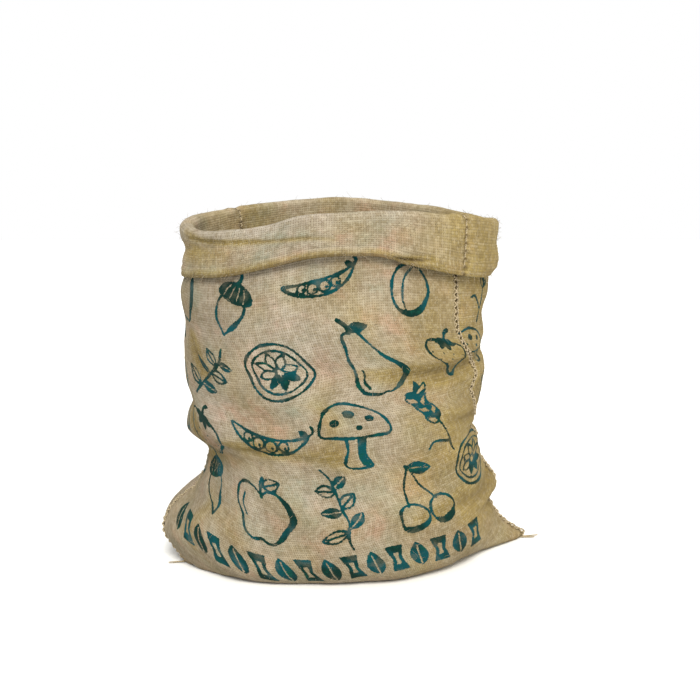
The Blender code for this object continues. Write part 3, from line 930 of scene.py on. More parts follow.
def draw(ink, flat, shapes, place, size):
    """Draws one motif into the field of distances: lines and solids first, then what is cut out."""
    x, y, turn = place
    near = np.abs(flat - np.array([x, y]) * MM).max(axis=1) < size * DRAWING_REACH * MM + FAR
    at, field = flat[near], ink[near]
    for kind, line, weight in sorted(shapes, key=lambda part: part[0] in ("gap", "hole")):
        if kind == "dot":
            centre = to_cloth(line, x, y, turn, size)
            field = np.minimum(field, np.linalg.norm(at - centre, axis=1) - weight)
            continue
        if kind in ("solid", "hole"):
            line = np.concatenate([line, line[:1]])
        line = to_cloth(line, x, y, turn, size)
        distance = line_distance(at, line)
        if kind == "line":
            if np.allclose(line[0], line[-1]) or len(line) > 3:
                sway = 1 + HAND_SWAY * np.sin(at[:, 0] * 190 + at[:, 1] * 260)
            else:
                sway = 1.0
            field = np.minimum(field, distance - weight * sway)
        elif kind == "solid":
            field = np.minimum(field, np.where(inside(at, line), -distance, distance))
        elif kind == "gap":
            field = np.maximum(field, weight - distance)
        else:
            field = np.maximum(field, np.where(inside(at, line), distance, -distance))
    ink[near] = field


def printed(flat):
    """Distance to the edge of the ink for each point of the flat cloth, negative in the ink."""
    places = flat.reshape(-1, 2)
    ink = np.full(len(places), FAR)
    for motif, x, y, size, turn in PRINT:
        draw(ink, places, motif(), (x, y, turn), size)
    for shapes, place, size in band_parts():
        draw(ink, places, shapes, place, size)
    return np.minimum(ink, FAR).reshape(flat.shape[:2])

# %% [markdown]
# ## The finish of the cloth
#
# Hessian is a plain weave of coarse jute, ten or eleven threads an inch, undyed and never quite
# even: some threads are thick, some thin, some pale and some brown, and between them are small
# gaps, darkened with painted shade. To the eye it is fully matt, with a faint fuzz along its
# outline. The weave is worked out from the flat map: the sine of each direction gives the round
# back of a thread, and their product says which of the two is on top. It is drawn at its real
# pitch, and noise stretched along each thread makes the slubs.

# %% Helpers for materials
def linear(hex_colour):
    """An sRGB hex value as the linear colour that a shader takes."""
    parts = [int(hex_colour[i:i + 2], 16) / 255 for i in (1, 3, 5)]
    return (*[c / 12.92 if c <= 0.04045 else ((c + 0.055) / 1.055) ** 2.4 for c in parts], 1.0)


def add(tree, kind, inputs=(), **settings):
    """Adds a node with its settings. Inputs are (socket, value) pairs, and nodes are linked."""
    made = tree.nodes.new("ShaderNode" + kind)
    for key, value in settings.items():
        setattr(made, key, value)
    for place, value in inputs:
        if isinstance(value, bpy.types.Node):
            value = value.outputs[0]
        if isinstance(value, bpy.types.NodeSocket):
            tree.links.new(value, made.inputs[place])
        else:
            made.inputs[place].default_value = value
    return made


def noise(tree, place, scale, detail, *more):
    """Adds noise over a map, with about `scale` waves to a unit of the map."""
    return add(tree, "TexNoise", [("Vector", place), ("Scale", scale), ("Detail", detail), *more])


def maths(tree, operation, *values, **settings):
    """Adds one step of arithmetic on numbers and on the outputs of nodes."""
    return add(tree, "Math", enumerate(values), operation=operation, **settings)


def value_at(tree, name):
    """Adds a node that reads a number kept with each point of the mesh."""
    return add(tree, "Attribute", attribute_name=name).outputs["Fac"]


def set_surface(tree, surface, colour, bump, values):
    """Gives a surface shader its colour, its bump and the values of its other sockets."""
    tree.links.new(colour, surface.inputs["Base Color"])
    tree.links.new(bump.outputs[0], surface.inputs["Normal"])
    for socket, value in values.items():
        surface.inputs[socket].default_value = value


def new_material(name):
    """A new material, with its tree and its surface shader."""
    made = bpy.data.materials.new(name)
    made.use_nodes = True
    tree = made.node_tree
    return made, tree, tree.nodes["Principled BSDF"]


# %% The weave: height of the threads, and which thread is on top
WARP_PITCH, WEFT_PITCH = 2.30 * MM, 2.45 * MM
WANDER = 2.4 * MM         # how far a thread strays from its straight line
SLUB_LONG = 38 * MM       # length of a thick place in a thread
OVER_UNDER = 0.36         # how far a thread dips where it passes under another
WANDER_NOISE = 42.0       # waves a metre


def weave(tree):
    """Adds the woven pattern: the flat map, the height, a number a thread and one a crossing."""
    flat = add(tree, "UVMap", uv_map="flat")
    stray = noise(tree, flat, WANDER_NOISE, 3.0).outputs["Color"]
    place = add(tree, "VectorMath", [(0, stray), (1, (WANDER, WANDER, 0)), (2, flat)],
                operation="MULTIPLY_ADD")
    axes = add(tree, "SeparateXYZ", [(0, place)])
    sines, backs, slubs = [], [], []
    for axis, pitch in enumerate((WARP_PITCH, WEFT_PITCH)):
        turn = maths(tree, "MULTIPLY", axes.outputs[axis], math.pi / pitch)
        sine = maths(tree, "SINE", turn)
        sines.append(sine)
        backs.append(maths(tree, "ABSOLUTE", sine))
        stretch = [1 / SLUB_LONG, 1 / SLUB_LONG, 0]
        stretch[axis] = 1 / pitch
        along = add(tree, "VectorMath", [(0, place), (1, stretch)], operation="MULTIPLY")
        slubs.append(noise(tree, along, 1.0, 2.0))
    crossing = maths(tree, "MULTIPLY", sines[0], sines[1])
    heights = []
    for back, slub, share in zip(backs, slubs, (OVER_UNDER, -OVER_UNDER)):
        thick = add(tree, "MapRange", [("Value", slub), (1, 0.3), (2, 0.7), (3, 0.42), (4, 0.78)])
        body = maths(tree, "MULTIPLY", back, thick)
        heights.append(maths(tree, "MULTIPLY_ADD", crossing, share, body))
    height = maths(tree, "MAXIMUM", heights[0], heights[1])
    warp_up = maths(tree, "GREATER_THAN", heights[0], heights[1])
    thread = add(tree, "Mix", [("Factor", warp_up), (2, slubs[1]), (3, slubs[0])],
                 data_type="FLOAT")
    cell = add(tree, "VectorMath", [(0, place), (1, (1 / WARP_PITCH, 1 / WEFT_PITCH, 0))],
               operation="MULTIPLY")
    cell = add(tree, "VectorMath", [(0, cell)], operation="FLOOR")
    crossing = add(tree, "TexWhiteNoise", [("Vector", cell)], noise_dimensions="2D")
    return flat, height, thread, crossing


# %% Jute hessian
TAN, OLIVE, ROSY, SAGE, SHADE = "#9A9080", "#8D7B43", "#A98A78", "#8A8F7F", "#C8C3B8"
WORN_AND_HIGHLIGHT = "#AEA79E"          # where the nap is rubbed pale, and the painted highlight on the roll
# the fleck colour serves both the dark bark flecks and the painted shade
# the gap colour is painted shade in the gaps between the threads
PALE_THREAD, BROWN_THREAD, GAP_SHADE, FLECK_AND_SHADE = "#A69C87", "#746547", "#5A4E36", "#433521"
RELIEF = 0.38 * MM        # from the gap between threads to the top of a thread
PATCH_NOISE, TINT_NOISE, CLOUD_NOISES = 16.0, 24.0, (20.0, 150.0)   # waves a metre
BARK_NOISE, FIBRE_NOISE = 520.0, 1900.0
DEEPEST_SHADE = 0.9        # how much of the colour the darkest painted shade hides


def mixed(tree, factor, first, second, blend="MIX"):
    """Adds a colour mix. A colour is given as a hex value or as a node's output."""
    colours = [linear(c) if isinstance(c, str) else c for c in (first, second)]
    made = add(tree, "Mix", [("Factor", factor), (6, colours[0]), (7, colours[1])],
               data_type="RGBA", blend_type=blend)
    return made.outputs[2]


def ranged(tree, value, low, high, at_low=0.0, at_high=1.0):
    """Adds a smooth step of a value from one range to another."""
    return add(tree, "MapRange", [("Value", value), (1, low), (2, high), (3, at_low), (4, at_high)],
               interpolation_type="SMOOTHSTEP")


def hessian_colour(tree, flat, height, thread, crossing):
    """The colour of undyed jute: patches, threads, gaps between them darkened with painted shade,
    dark flecks of bark, and the painted shade that the mesh carries.
    """
    patches = noise(tree, flat, PATCH_NOISE, 4.0)
    colour = mixed(tree, ranged(tree, patches, 0.42, 1.10), TAN, OLIVE)
    tint = noise(tree, flat, TINT_NOISE, 5.0, ("Roughness", 0.55))
    colour = mixed(tree, ranged(tree, tint, 0.50, 0.70, 0.0, 0.80), colour, ROSY)
    colour = mixed(tree, ranged(tree, tint, 0.50, 0.32, 0.0, 0.70), colour, SAGE)
    # paler where the nap is rubbed, and a painted highlight along the crest of the roll
    colour = mixed(tree, value_at(tree, "worn_and_highlight"), colour, WORN_AND_HIGHLIGHT)
    # olive: the cloth's own tint, and stain and painted shade in its folds and troughs
    olive = maths(tree, "MULTIPLY_ADD", patches, 0.7, value_at(tree, "olive"))
    colour = mixed(tree, ranged(tree, olive, 0.30, 1.15, 0.0, 0.88), colour, OLIVE)
    for scale in CLOUD_NOISES:
        cloudy = noise(tree, flat, scale, 2.0, ("Roughness", 0.6))
        shaded = ranged(tree, cloudy, 0.66, 0.34, 0.0, 0.55)
        colour = mixed(tree, shaded, colour, SHADE, "MULTIPLY")
    # the last row darkens the gaps between the threads with painted shade
    for value, low, high, amount, tone in (
        (thread, 0.52, 0.74, 0.35, PALE_THREAD), (thread, 0.46, 0.28, 0.35, BROWN_THREAD),
        (crossing, 0.50, 1.00, 0.24, PALE_THREAD), (crossing, 0.35, 0.00, 0.28, BROWN_THREAD),
        (height, 0.50, 0.20, 0.60, GAP_SHADE),
    ):
        colour = mixed(tree, ranged(tree, value, low, high, 0.0, amount), colour, tone)
    bark = noise(tree, flat, BARK_NOISE, 1.0)
    colour = mixed(tree, ranged(tree, bark, 0.69, 0.74, 0.0, 0.7), colour, FLECK_AND_SHADE)
    # painted shade carried by the mesh: needle holes, folds, sides, near the floor, at the cuff's
    # edge
    painted_dark = maths(tree, "MULTIPLY", value_at(tree, "painted_shade"), DEEPEST_SHADE, use_clamp=True)
    return mixed(tree, painted_dark, colour, FLECK_AND_SHADE)


def hessian():
    """Undyed jute cloth, woven and matt."""
    made, tree, surface = new_material("jute_hessian")
    flat, height, thread, crossing = weave(tree)
    colour = hessian_colour(tree, flat, height, thread, crossing)
    colour = print_ink(tree, flat, height, colour)
    fibres = noise(tree, flat, FIBRE_NOISE, 1.0)
    rough = maths(tree, "MULTIPLY_ADD", fibres, 0.30, height)
    bump = add(tree, "Bump", [("Strength", 1.0), ("Distance", RELIEF), ("Height", rough)])
    set_surface(tree, surface, colour, bump, {
        "Roughness": 0.92, "Specular IOR Level": 0.06, "Sheen Weight": 0.03,
        "Sheen Roughness": 0.55, "Sheen Tint": linear("#E9DDC4"),
    })
    return made


# %% [markdown]
# ## Teal ink on jute
#
# Screen printing presses a thick water-based ink onto the tops of the threads. It does not reach
# the gaps, its edge follows the threads it caught, and it is thin where the screen lifted too soon.
# So the measured distance is disturbed by the weave and by a little noise before it is cut into ink
# and no ink, and the cloth shows a little through patches of the ink.

# %% Ink
INK_DARK, INK_LIGHT, INK_GREEN = "#04241F", "#043C41", "#063F33"
INK_RAGGED = 0.7 * MM     # how far the edge of the ink strays
INK_SOFT = 0.28 * MM      # half the width over which it fades out
INK_HIGH = 0.5 * MM       # how much further it spreads on the top of a thread than in a gap
INK_SPREAD = 0.25 * MM    # and how much of that is taken back everywhere
EDGE_NOISE, THIN_NOISE, TONE_NOISE = 420.0, 75.0, 30.0   # waves a metre


def print_ink(tree, flat, height, cloth):
    """Mixes the ink over the colour of the cloth, by the point's distance to the ink's edge."""
    edge = value_at(tree, "ink_edge")
    ragged = noise(tree, flat, EDGE_NOISE, 1.0)
    stray = ranged(tree, ragged, 0.25, 0.75, -INK_RAGGED / 2, INK_RAGGED / 2)
    strayed = maths(tree, "ADD", edge, stray)
    caught = maths(tree, "MULTIPLY_ADD", height, -INK_HIGH, strayed)
    ink = ranged(tree, caught, INK_SOFT - INK_SPREAD, -INK_SOFT - INK_SPREAD)
    thin = noise(tree, flat, THIN_NOISE, 3.0)
    covers = ranged(tree, thin, 0.30, 0.50, 0.82, 1.0)
    ink = maths(tree, "MULTIPLY", ink, covers)
    tone = noise(tree, flat, TONE_NOISE, 2.0)
    colour = mixed(tree, ranged(tree, tone, 0.42, 0.62), INK_DARK, INK_LIGHT)
    colour = mixed(tree, ranged(tree, thin, 0.55, 0.75, 0.0, 0.8), colour, INK_GREEN)
    return mixed(tree, ink, cloth, colour)


# %% [markdown]
# ## Jute twine
#
# The sides are sewn with a two-ply jute twine, paler than the cloth because it is spun from longer
# and cleaner fibre. Its two plies show as slanting stripes, darker with painted shade in the
# grooves between them, which a wave along its own map draws.

# %% Two-ply jute twine
TWINE_PALE, TWINE_DARK = "#AA9B7D", "#67583B"
PLY_PITCH = 2.4 * MM      # length of one twist of the two plies
PLIES = 2
TWINE_NOISE = 900.0       # waves to a unit of its map


def twine_finish():
    """Two-ply jute twine: matt, pale, with slanting plies."""
    made, tree, surface = new_material("jute_twine")
    along = add(tree, "UVMap", uv_map="along")
    axes = add(tree, "SeparateXYZ", [(0, along)])
    twist = maths(tree, "MULTIPLY", axes.outputs[1], 2 * math.pi / PLY_PITCH)
    turned = maths(tree, "MULTIPLY_ADD", axes.outputs[0], 2 * math.pi * PLIES, twist)
    ply = maths(tree, "SINE", turned)
    fibre = noise(tree, along, TWINE_NOISE, 2.0)
    # the darker stripes between the plies are painted shade
    shade = maths(tree, "MULTIPLY_ADD", ply, 0.22, fibre)
    colour = mixed(tree, ranged(tree, shade, 0.15, 0.75), TWINE_DARK, TWINE_PALE)
    bump = add(tree, "Bump", [("Strength", 0.8), ("Distance", 0.3 * MM), ("Height", shade)])
    set_surface(tree, surface, colour, bump, {
        "Roughness": 0.85, "Specular IOR Level": 0.3, "Sheen Weight": 0.15,
    })
    return made


hessian_cloth = hessian()
jute_twine = twine_finish()
print("finishes:", [material.name for material in bpy.data.materials])

# %% [markdown]
# ## The four sheets of cloth
#
# Front panel, back panel and the two halves of the cuff meet at the seams, where the real panels
# are sewn, and at the neck, under the cuff, where nobody sees the join. A used sack is never of one
# colour: this one is yellower along its hem, low down, on its right side and at the back, and pale
# where its nap is rubbed off. Its troughs and folds are olive and darker, partly stain and partly
# painted shade. Its sides, the part near the floor, the needle holes, the edge of the cuff and the
# wall just under it are darkened with painted shade, and the crest of the roll carries a painted
# highlight as well as wear. Each of these is a number at each point, which the finish reads. It is
# worked out from the shape itself and from a few listed rows.

# %% Faces of the wall
COVERED_FROM, COVERED_SOFT = 330 * MM, 40 * MM   # along the warp: where the cuff hides the wall
LUMPS_UNDER_CUFF = 0.35   # how lumpy the wall still is there, so that it stays clear of the cuff
FULL_TROUGH_DEPTH = 5.0 * MM    # a trough this deep gets its full stain and painted shade
WALL_WORN = 0.25          # how pale the rubbed patches of the wall are
UNDER_HEM_SHADOW, UNDER_HEM_SHADOW_DEEP = 0.03, 14 * MM   # painted shadow on the wall along the edge of the cuff
FOLD_SHADE = 0.26          # painted shade in the folds
LOW_SHADE, LOW_SHADE_TO = 0.05, 0.16   # painted shade near the floor, up to this height (m)
SIDE_SHADE = table([
    # angle, painted shade on this side of the wall
    (-180, 0.10), (-110, 0.24), (-75, 0.25), (-50, 0.18), (-25, 0.10), (0, 0.09), (25, 0.07),
    (50, 0.06), (80, 0.08), (140, 0.10),
])
YELLOW_BY_SIDE = table([
    # angle, how yellow the cloth is on this side
    (-180, 0.22), (-130, 0.30), (-100, 0.30), (-75, 0.14), (-50, 0.02), (0, 0.05), (18, 0.14),
    (30, 0.34), (50, 0.54), (75, 0.64), (95, 0.64), (140, 0.36),
])
WALL_YELLOW = 0.07        # how yellow all of the wall is
LOW_YELLOW, LOW_SOFT = 0.13, 0.26   # the lower part is yellower, up to this height (m)
LOW_SIDE_FADE, LOW_SIDE_FADE_TO = 0.6, 0.15   # but there its sides are less yellow than higher up
TROUGH_STAIN_AND_SHADE = 0.5       # how yellow and dark the bottom of a deep trough is: stain and painted shade
FOLD_SHADE_MOST = 1.5      # past this a fold gets no more painted shade
NEEDLE_HOLE = 2.5 * MM    # how far beside a seam the painted shade of the needle holes reaches
WALL_RUBBED = (52 * MM, 44 * MM, 41)   # rubbed patches: along the weft, along the warp, seed


def fold_stain_and_shade(flat, part):
    """How yellow and dark the cloth is in its folds, as stain and painted shade, for the front, the
    back or half of the cuff.
    """
    return wrinkles(flat[..., 0], flat[..., 1], FOLD_STAIN_AND_SHADE[part]) / MM


def yellow_and_fold_shade(angle, height, flat, side):
    """How yellow the wall is at a point, by its side of the sack and low down, with stain and
    painted shade in its folds and troughs.
    """
    deep = np.clip(trough(angle, height, CREASES) / FULL_TROUGH_DEPTH, 0, 1)
    low = LOW_YELLOW * smooth_step(1 - height / LOW_SOFT)
    folded = fold_stain_and_shade(flat, side)
    side_fade = LOW_SIDE_FADE * smooth_step(1.5 - 1.5 * height / LOW_SIDE_FADE_TO)
    sides = around(angle, *YELLOW_BY_SIDE) * (1 - side_fade)
    return np.clip(WALL_YELLOW + sides + low + TROUGH_STAIN_AND_SHADE * deep + folded, 0, 1)


def painted_wall_shade(angle, height, flat, side):
    """Painted shade on the wall: on its sides, near the floor, in its folds, and a painted shadow
    along the cuff's edge.
    """
    below = around(angle, rim_at, hem_height) - height
    # painted shadow of the cuff on the wall along its edge
    covered = UNDER_HEM_SHADOW * smooth_step(1 - np.abs(below) / UNDER_HEM_SHADOW_DEEP)
    low = LOW_SHADE * smooth_step(1 - height / LOW_SHADE_TO)
    folded = np.clip(fold_stain_and_shade(flat, side), 0, FOLD_SHADE_MOST)
    return around(angle, *SIDE_SHADE) + covered + low + FOLD_SHADE * folded ** 1.5


def needle_holes(flat, phase):
    """Where the needle went through beside a seam: painted shade in its holes, between one stitch
    and the next.
    """
    from_seam = np.minimum(flat[..., 0], PANEL - flat[..., 0])
    beat = 0.5 - 0.5 * np.cos(2 * math.pi * (flat[..., 1] / STITCH + phase))
    return bump_at(from_seam, NEEDLE_HOLE) * beat ** 1.5


def flat_places(run):
    """Flat positions of a panel's points: u from its first seam to its second, v along the warp."""
    u = np.broadcast_to(np.linspace(0, PANEL, COLUMNS + 1), run.shape)
    return np.stack([u, run], axis=-1)


def wall_faces(side):
    """The printed and the plain face of one panel's wall, with its flat map."""
    flat = flat_places(panel_of(wall_run, side))
    u, v = flat[..., 0], flat[..., 1]
    covered = smooth_step((v - COVERED_FROM) / COVERED_SOFT)
    out = relief(u, v, side, lumpy=1 - (1 - LUMPS_UNDER_CUFF) * covered)[..., None]
    normal, normal_inside = facing(wall), facing(wall_inside)
    normal[0] = normal_inside[0] = (0, 0, -1)
    outer = panel_of(wall, side) + (out + CLOTH / 2) * panel_of(normal, side)
    inner = panel_of(wall_inside, side) + (out - CLOTH / 2) * panel_of(normal_inside, side)
    outer[0, :, 2] = 0.0
    inner[0, :, 2] = CLOTH
    outer[..., 2] = np.maximum(outer[..., 2], 0.0)
    return outer, inner, flat


def with_floor(outer, inner, flat):
    """The same faces with the half of the base that belongs to them, from the fold to its edge."""
    share = np.linspace(0, 1, FLOOR_ROWS + 1)[:-1, None, None]
    across = np.linspace(0, 1, COLUMNS + 1)[:, None]
    floors = []
    for face in (outer, inner):
        fold = face[0, 0] + (face[0, -1] - face[0, 0]) * across
        floors.append(np.concatenate([fold + (face[0] - fold) * share, face]))
    deep = np.linalg.norm(floors[0][0] - floors[0][FLOOR_ROWS], axis=-1)
    under = flat[:1] - np.stack([np.zeros_like(deep), deep], axis=-1) * (1 - share)
    return floors[0], floors[1], np.concatenate([under, flat])


def with_floor_values(values):
    """Values of the wall, with those of its lowest row repeated over the base."""
    return np.concatenate([np.repeat(values[:1], FLOOR_ROWS, axis=0), values])


panels, faces, cuffs = {}, {}, {}
for side in ("front", "back"):
    outer, inner, flat = wall_faces(side)
    angle = panel_of(wall_angles, side)
    olive = with_floor_values(yellow_and_fold_shade(angle, outer[..., 2], flat, side))
    wall_shade = with_floor_values(painted_wall_shade(angle, outer[..., 2], flat, side))
    faces[side] = (outer, inner, flat)
    outer, inner, flat = with_floor(outer, inner, flat)
    ink = printed(flat)
    worn_and_highlight = WALL_WORN * smooth_step(0.5 + uneven(flat[..., 0], flat[..., 1], *WALL_RUBBED))
    values = {"ink_edge": (ink, np.full_like(ink, FAR)), "olive": (olive, olive),
              "painted_shade": (np.maximum(needle_holes(flat, 0.0), wall_shade), needle_holes(flat, 0.5)),
              "worn_and_highlight": (worn_and_highlight, worn_and_highlight)}
    panel = add_sheet(side + "_panel", outer, inner, flat, values)
    panel.data.materials.append(hessian_cloth)
    panels[side] = panel
    print(side, "panel: ink covers", round(float((ink < 0).mean()), 3), "of its printed face")

# %% The cuff
LIP_TURNS = (30, 60, 90, 120, 150)   # degrees round the edge of the hem
LIP_RUN = (0.5, 3.0)      # where its rows lie on the flat map, past the hem (mm)
CUFF_LUMPS = 0.75         # how lumpy the cuff is, beside the wall
TURNED = 20 * MM          # along the warp from the neck: from here on the plain face is outside
CURL_DEEP = 15 * MM       # how far up the cuff its hem curls towards the wall
HEM_CURL = table([
    # angle, how far the edge of the hem curls in (mm)
    (-180, 1.0), (-105, 2.0), (-60, 1.2), (0, 0.6), (55, 1.6), (90, 5.5), (125, 2.0),
])
STRIP_DEEP, STRIP_YELLOW = 13 * MM, 0.85   # the yellow strip above the hem's edge
STRIP_PATCHES = (21 * MM, 9 * MM, 21)   # along the weft, along the warp, seed
EDGE_WIDE = 3.5 * MM      # the painted shade along the edge itself
EDGE_SHADE = table([
    # angle, how much painted shade the edge itself gets
    (-180, 0.32), (-90, 0.42), (30, 0.42), (48, 0.10), (70, 0.0), (110, 0.03), (150, 0.32),
])
CUFF_YELLOW = 1.15        # the cuff is this much yellower by side than the wall
PUFF = 2.6 * MM           # how far the middle of the cuff stands out, at the front and the back
# the cuff's troughs: how deep one must be for its full mark, and how yellow and dark it gets, as
# stain and painted shade
CUFF_FULL_TROUGH_DEPTH, CUFF_TROUGH_STAIN_AND_SHADE = 3.6 * MM, 0.3
CUFF_FOLD_DEEP, CUFF_FOLD_SHADE = 2.8 * MM, 0.8   # a valley this deep gets its full painted shade
ROLL_RUB_AND_HIGHLIGHT = 0.70          # how pale the crest of the roll is: rubbed nap, and a painted highlight
ROLL_TOP_AT = NECK_AT + NECK + 14 * MM   # the roll's middle as it shows, along the warp
ROLL_RUB_AND_HIGHLIGHT_WIDE = 9 * MM
ROLL_PATCHES = (17 * MM, 8 * MM, 31)
HEM_STEP, GROOVE_WIDE = 1.5 * MM, 1.4 * MM   # where the hem thickens, and its line of stitches


def cuff_faces(side):
    """The plain face, which shows, and the printed face of half the cuff, rounded over its hem."""
    normal = panel_of(facing(cuff), side)
    flat = flat_places(panel_of(cuff_run, side))
    from_hem = flat[-1, 0, 1] - flat[:, 0, 1]
    half = 1 + (HEM_SWELL - 1) * np.clip((HEM_DEEP - from_hem) / HEM_STEP, 0, 1)
    half = half - HEM_GROOVE * bump_at(from_hem - HEM_DEEP, GROOVE_WIDE)
    half = (half * CLOTH / 2)[:, None, None]
    turned = smooth_step((flat[..., 1] - NECK_AT) / TURNED)
    lumpy = LUMPS_UNDER_CUFF + (CUFF_LUMPS - LUMPS_UNDER_CUFF) * turned
    out = relief(flat[..., 0], flat[..., 1], side, lumpy=lumpy, shown=1 - 2 * turned)
    curl = around(panel_of(cuff_angles, side), *HEM_CURL) * MM
    down = np.clip((flat[..., 1] - NECK_AT - TURNED) / (flat[-1, 0, 1] - NECK_AT - TURNED), 0, 1)
    puff = PUFF * np.sin(math.pi * down ** 0.8) * np.cos(panel_of(cuff_angles, side)) ** 2
    out = (out - puff + curl * np.clip(1 - from_hem / CURL_DEEP, 0, 1)[:, None] ** 2)[..., None]
    shows = panel_of(cuff, side) + (out - half) * normal
    hidden = panel_of(cuff, side) + (out + half) * normal
    middle = (shows[-1] + hidden[-1]) / 2
    onward = unit(panel_of(cuff, side)[-1] - panel_of(cuff, side)[-2])
    radius = (shows[-1] - hidden[-1]) / 2
    thick = np.linalg.norm(radius, axis=-1, keepdims=True)
    lip = [middle + radius * c + onward * thick * s for c, s in map(direction, LIP_TURNS)]
    return shows, hidden, flat, np.array(lip)


def cuff_values(side, shows, flat):
    """What the finish reads at each point of half the cuff: how yellow it is, its painted shade,
    and how worn and highlighted it is.
    """
    u, v = flat[..., 0], flat[..., 1]
    angle = panel_of(cuff_angles, side)
    deep = trough(angle, shows[:len(angle), :, 2], CUFF_CREASES) / CUFF_FULL_TROUGH_DEPTH
    olive = around(angle, *YELLOW_BY_SIDE) * CUFF_YELLOW + CUFF_TROUGH_STAIN_AND_SHADE * np.clip(deep, 0, 1)
    olive = np.concatenate([olive, np.repeat(olive[-1:], len(flat) - len(olive), axis=0)])
    olive = olive + fold_stain_and_shade(flat, side + " cuff")
    above_edge = np.maximum(cuff_run[-1, 0] - v, 0.0)
    strip = smooth_step(1 - above_edge / STRIP_DEEP)
    patchy = 0.72 + 0.28 * uneven(u, v, *STRIP_PATCHES)
    olive = np.maximum(olive, strip * patchy * STRIP_YELLOW)
    none = np.full(olive.shape, FAR)
    folded = np.clip(-wrinkles(u, v, WRINKLES[side + " cuff"]) / CUFF_FOLD_DEEP, 0, 1)
    # painted shade along the hem's edge, and in the valleys of the cuff's folds
    edge_shade = around(angle[-1], *EDGE_SHADE) * smooth_step(1 - above_edge / EDGE_WIDE)
    painted_shade = np.maximum(needle_holes(flat, 0.5), edge_shade)
    painted_shade = np.maximum(painted_shade, CUFF_FOLD_SHADE * folded ** 1.5)
    # a pale band along the crest of the roll: rubbed nap, and a painted highlight
    rubbed = 0.75 + 0.25 * uneven(u, v, *ROLL_PATCHES)
    worn_and_highlight = ROLL_RUB_AND_HIGHLIGHT * np.exp(-((v - ROLL_TOP_AT) / ROLL_RUB_AND_HIGHLIGHT_WIDE) ** 2) * rubbed
    return {"ink_edge": (none, none), "olive": (olive, olive), "painted_shade": (painted_shade, painted_shade),
            "worn_and_highlight": (worn_and_highlight, worn_and_highlight)}


for side in ("front", "back"):
    shows, hidden, flat, lip = cuff_faces(side)
    cuffs[side] = (shows, flat)
    lip_rows = len(lip) + 1
    shows = np.concatenate([shows, lip, hidden[-1:]])
    hidden = np.concatenate([hidden, np.repeat(hidden[-1:], lip_rows, axis=0)])
    extra = np.repeat(flat[-1:], lip_rows, axis=0)
    extra[..., 1] += np.linspace(*LIP_RUN, lip_rows)[:, None] * MM
    flat = np.concatenate([flat, extra])
    half_cuff = add_sheet(side + "_cuff", shows, hidden, flat,
                          cuff_values(side, shows, flat), flip=True)
    half_cuff.data.materials.append(hessian_cloth)
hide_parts("sack_cloth")

# %% [markdown]
# ## The stitches up the sides
#
# A sack is closed on a bag-sewing machine: one pass of thick thread, which shows as a chain of open
# loops on the outside and as short separate stitches on the inside. The cuff is turned inside out,
# so it carries the short stitches. A thread is a tube swept along a path, with its plies drawn by
# the finish; both kinds of stitch are paths beside the seam, given as a length along the seam, a
# step aside and a height over the cloth.

# %% Threads as tubes
TINY = 1e-9               # so that a path that stands still is not divided by zero


def tubes(paths, up, radius, sides):
    """Points and faces of tubes along many paths, and where each face corner lies on them."""
    along = unit(np.gradient(paths, axis=1), TINY)
    aside = unit(np.cross(along, up), TINY)
    over = np.cross(aside, along)
    turn = np.arange(sides) / sides * 2 * math.pi
    radius = np.broadcast_to(radius, paths.shape[:2])[..., None, None]
    points = (paths[:, :, None] + radius * (aside[:, :, None] * np.cos(turn)[:, None]
                                            + over[:, :, None] * np.sin(turn)[:, None]))
    many, long = paths.shape[:2]
    index = np.arange(many * long * sides).reshape(many, long, sides)
    onward = np.roll(index, -1, axis=2)
    quads = np.stack([index[:, :-1], onward[:, :-1], onward[:, 1:], index[:, 1:]], axis=-1)
    ends = np.concatenate([index[:, 0, ::-1], index[:, -1]])
    steps = np.linalg.norm(np.diff(paths, axis=1), axis=-1)
    run = np.concatenate([np.zeros((many, 1)), np.cumsum(steps, axis=1)], axis=1)
    cells = quads.shape[:3]
    low = np.broadcast_to(run[:, :-1, None], cells)
    high = np.broadcast_to(run[:, 1:, None], cells)
    start = np.broadcast_to(np.arange(sides) / sides, cells)
    places = np.stack([np.stack([start, start + 1 / sides, start + 1 / sides, start], axis=-1),
                       np.stack([low, low, high, high], axis=-1)], axis=-1)
    places = np.concatenate([places.reshape(-1, 2), np.zeros((ends.size, 2))])
    return points.reshape(-1, 3), quads.reshape(-1, 4).tolist() + ends.tolist(), places


def add_thread(name, parts, finish):
    """One piece made of many tubes: (paths, up, radius, sides) for each kind of thread in it."""
    points, faces_of, places, count = [], [], [], 0
    for paths, up, radius, sides in parts:
        made, tube_faces, made_places = tubes(paths, up, radius, sides)
        points.append(made)
        faces_of += [[corner + count for corner in face] for face in tube_faces]
        places.append(made_places)
        count += len(made)
    mesh = bpy.data.meshes.new(name)
    mesh.from_pydata(np.concatenate(points).tolist(), [], faces_of)
    uv = mesh.uv_layers.new(name="along")
    uv.uv.foreach_set("vector", np.concatenate(places).astype(np.float32).ravel())
    mesh.shade_smooth()
    mesh.materials.append(finish)
    piece = new_object(name, mesh)
    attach(piece, BODY)
    print(name, "has", sum(len(p.vertices) - 2 for p in mesh.polygons), "triangles")
    return piece


# %% Points beside a seam
def by_seam(line, length, aside, lift):
    """Points at a length along a seam, a step aside from it and a height over the cloth."""
    run, points, along, outward = line
    order = np.argsort(run)
    place, onward, up = (
        np.stack([np.interp(length, run[order], part[order, i]) for i in range(3)], axis=-1)
        for part in (points, along, outward))
    beside = unit(np.cross(onward, up))
    return place + beside * aside[..., None] + up * lift[..., None], up


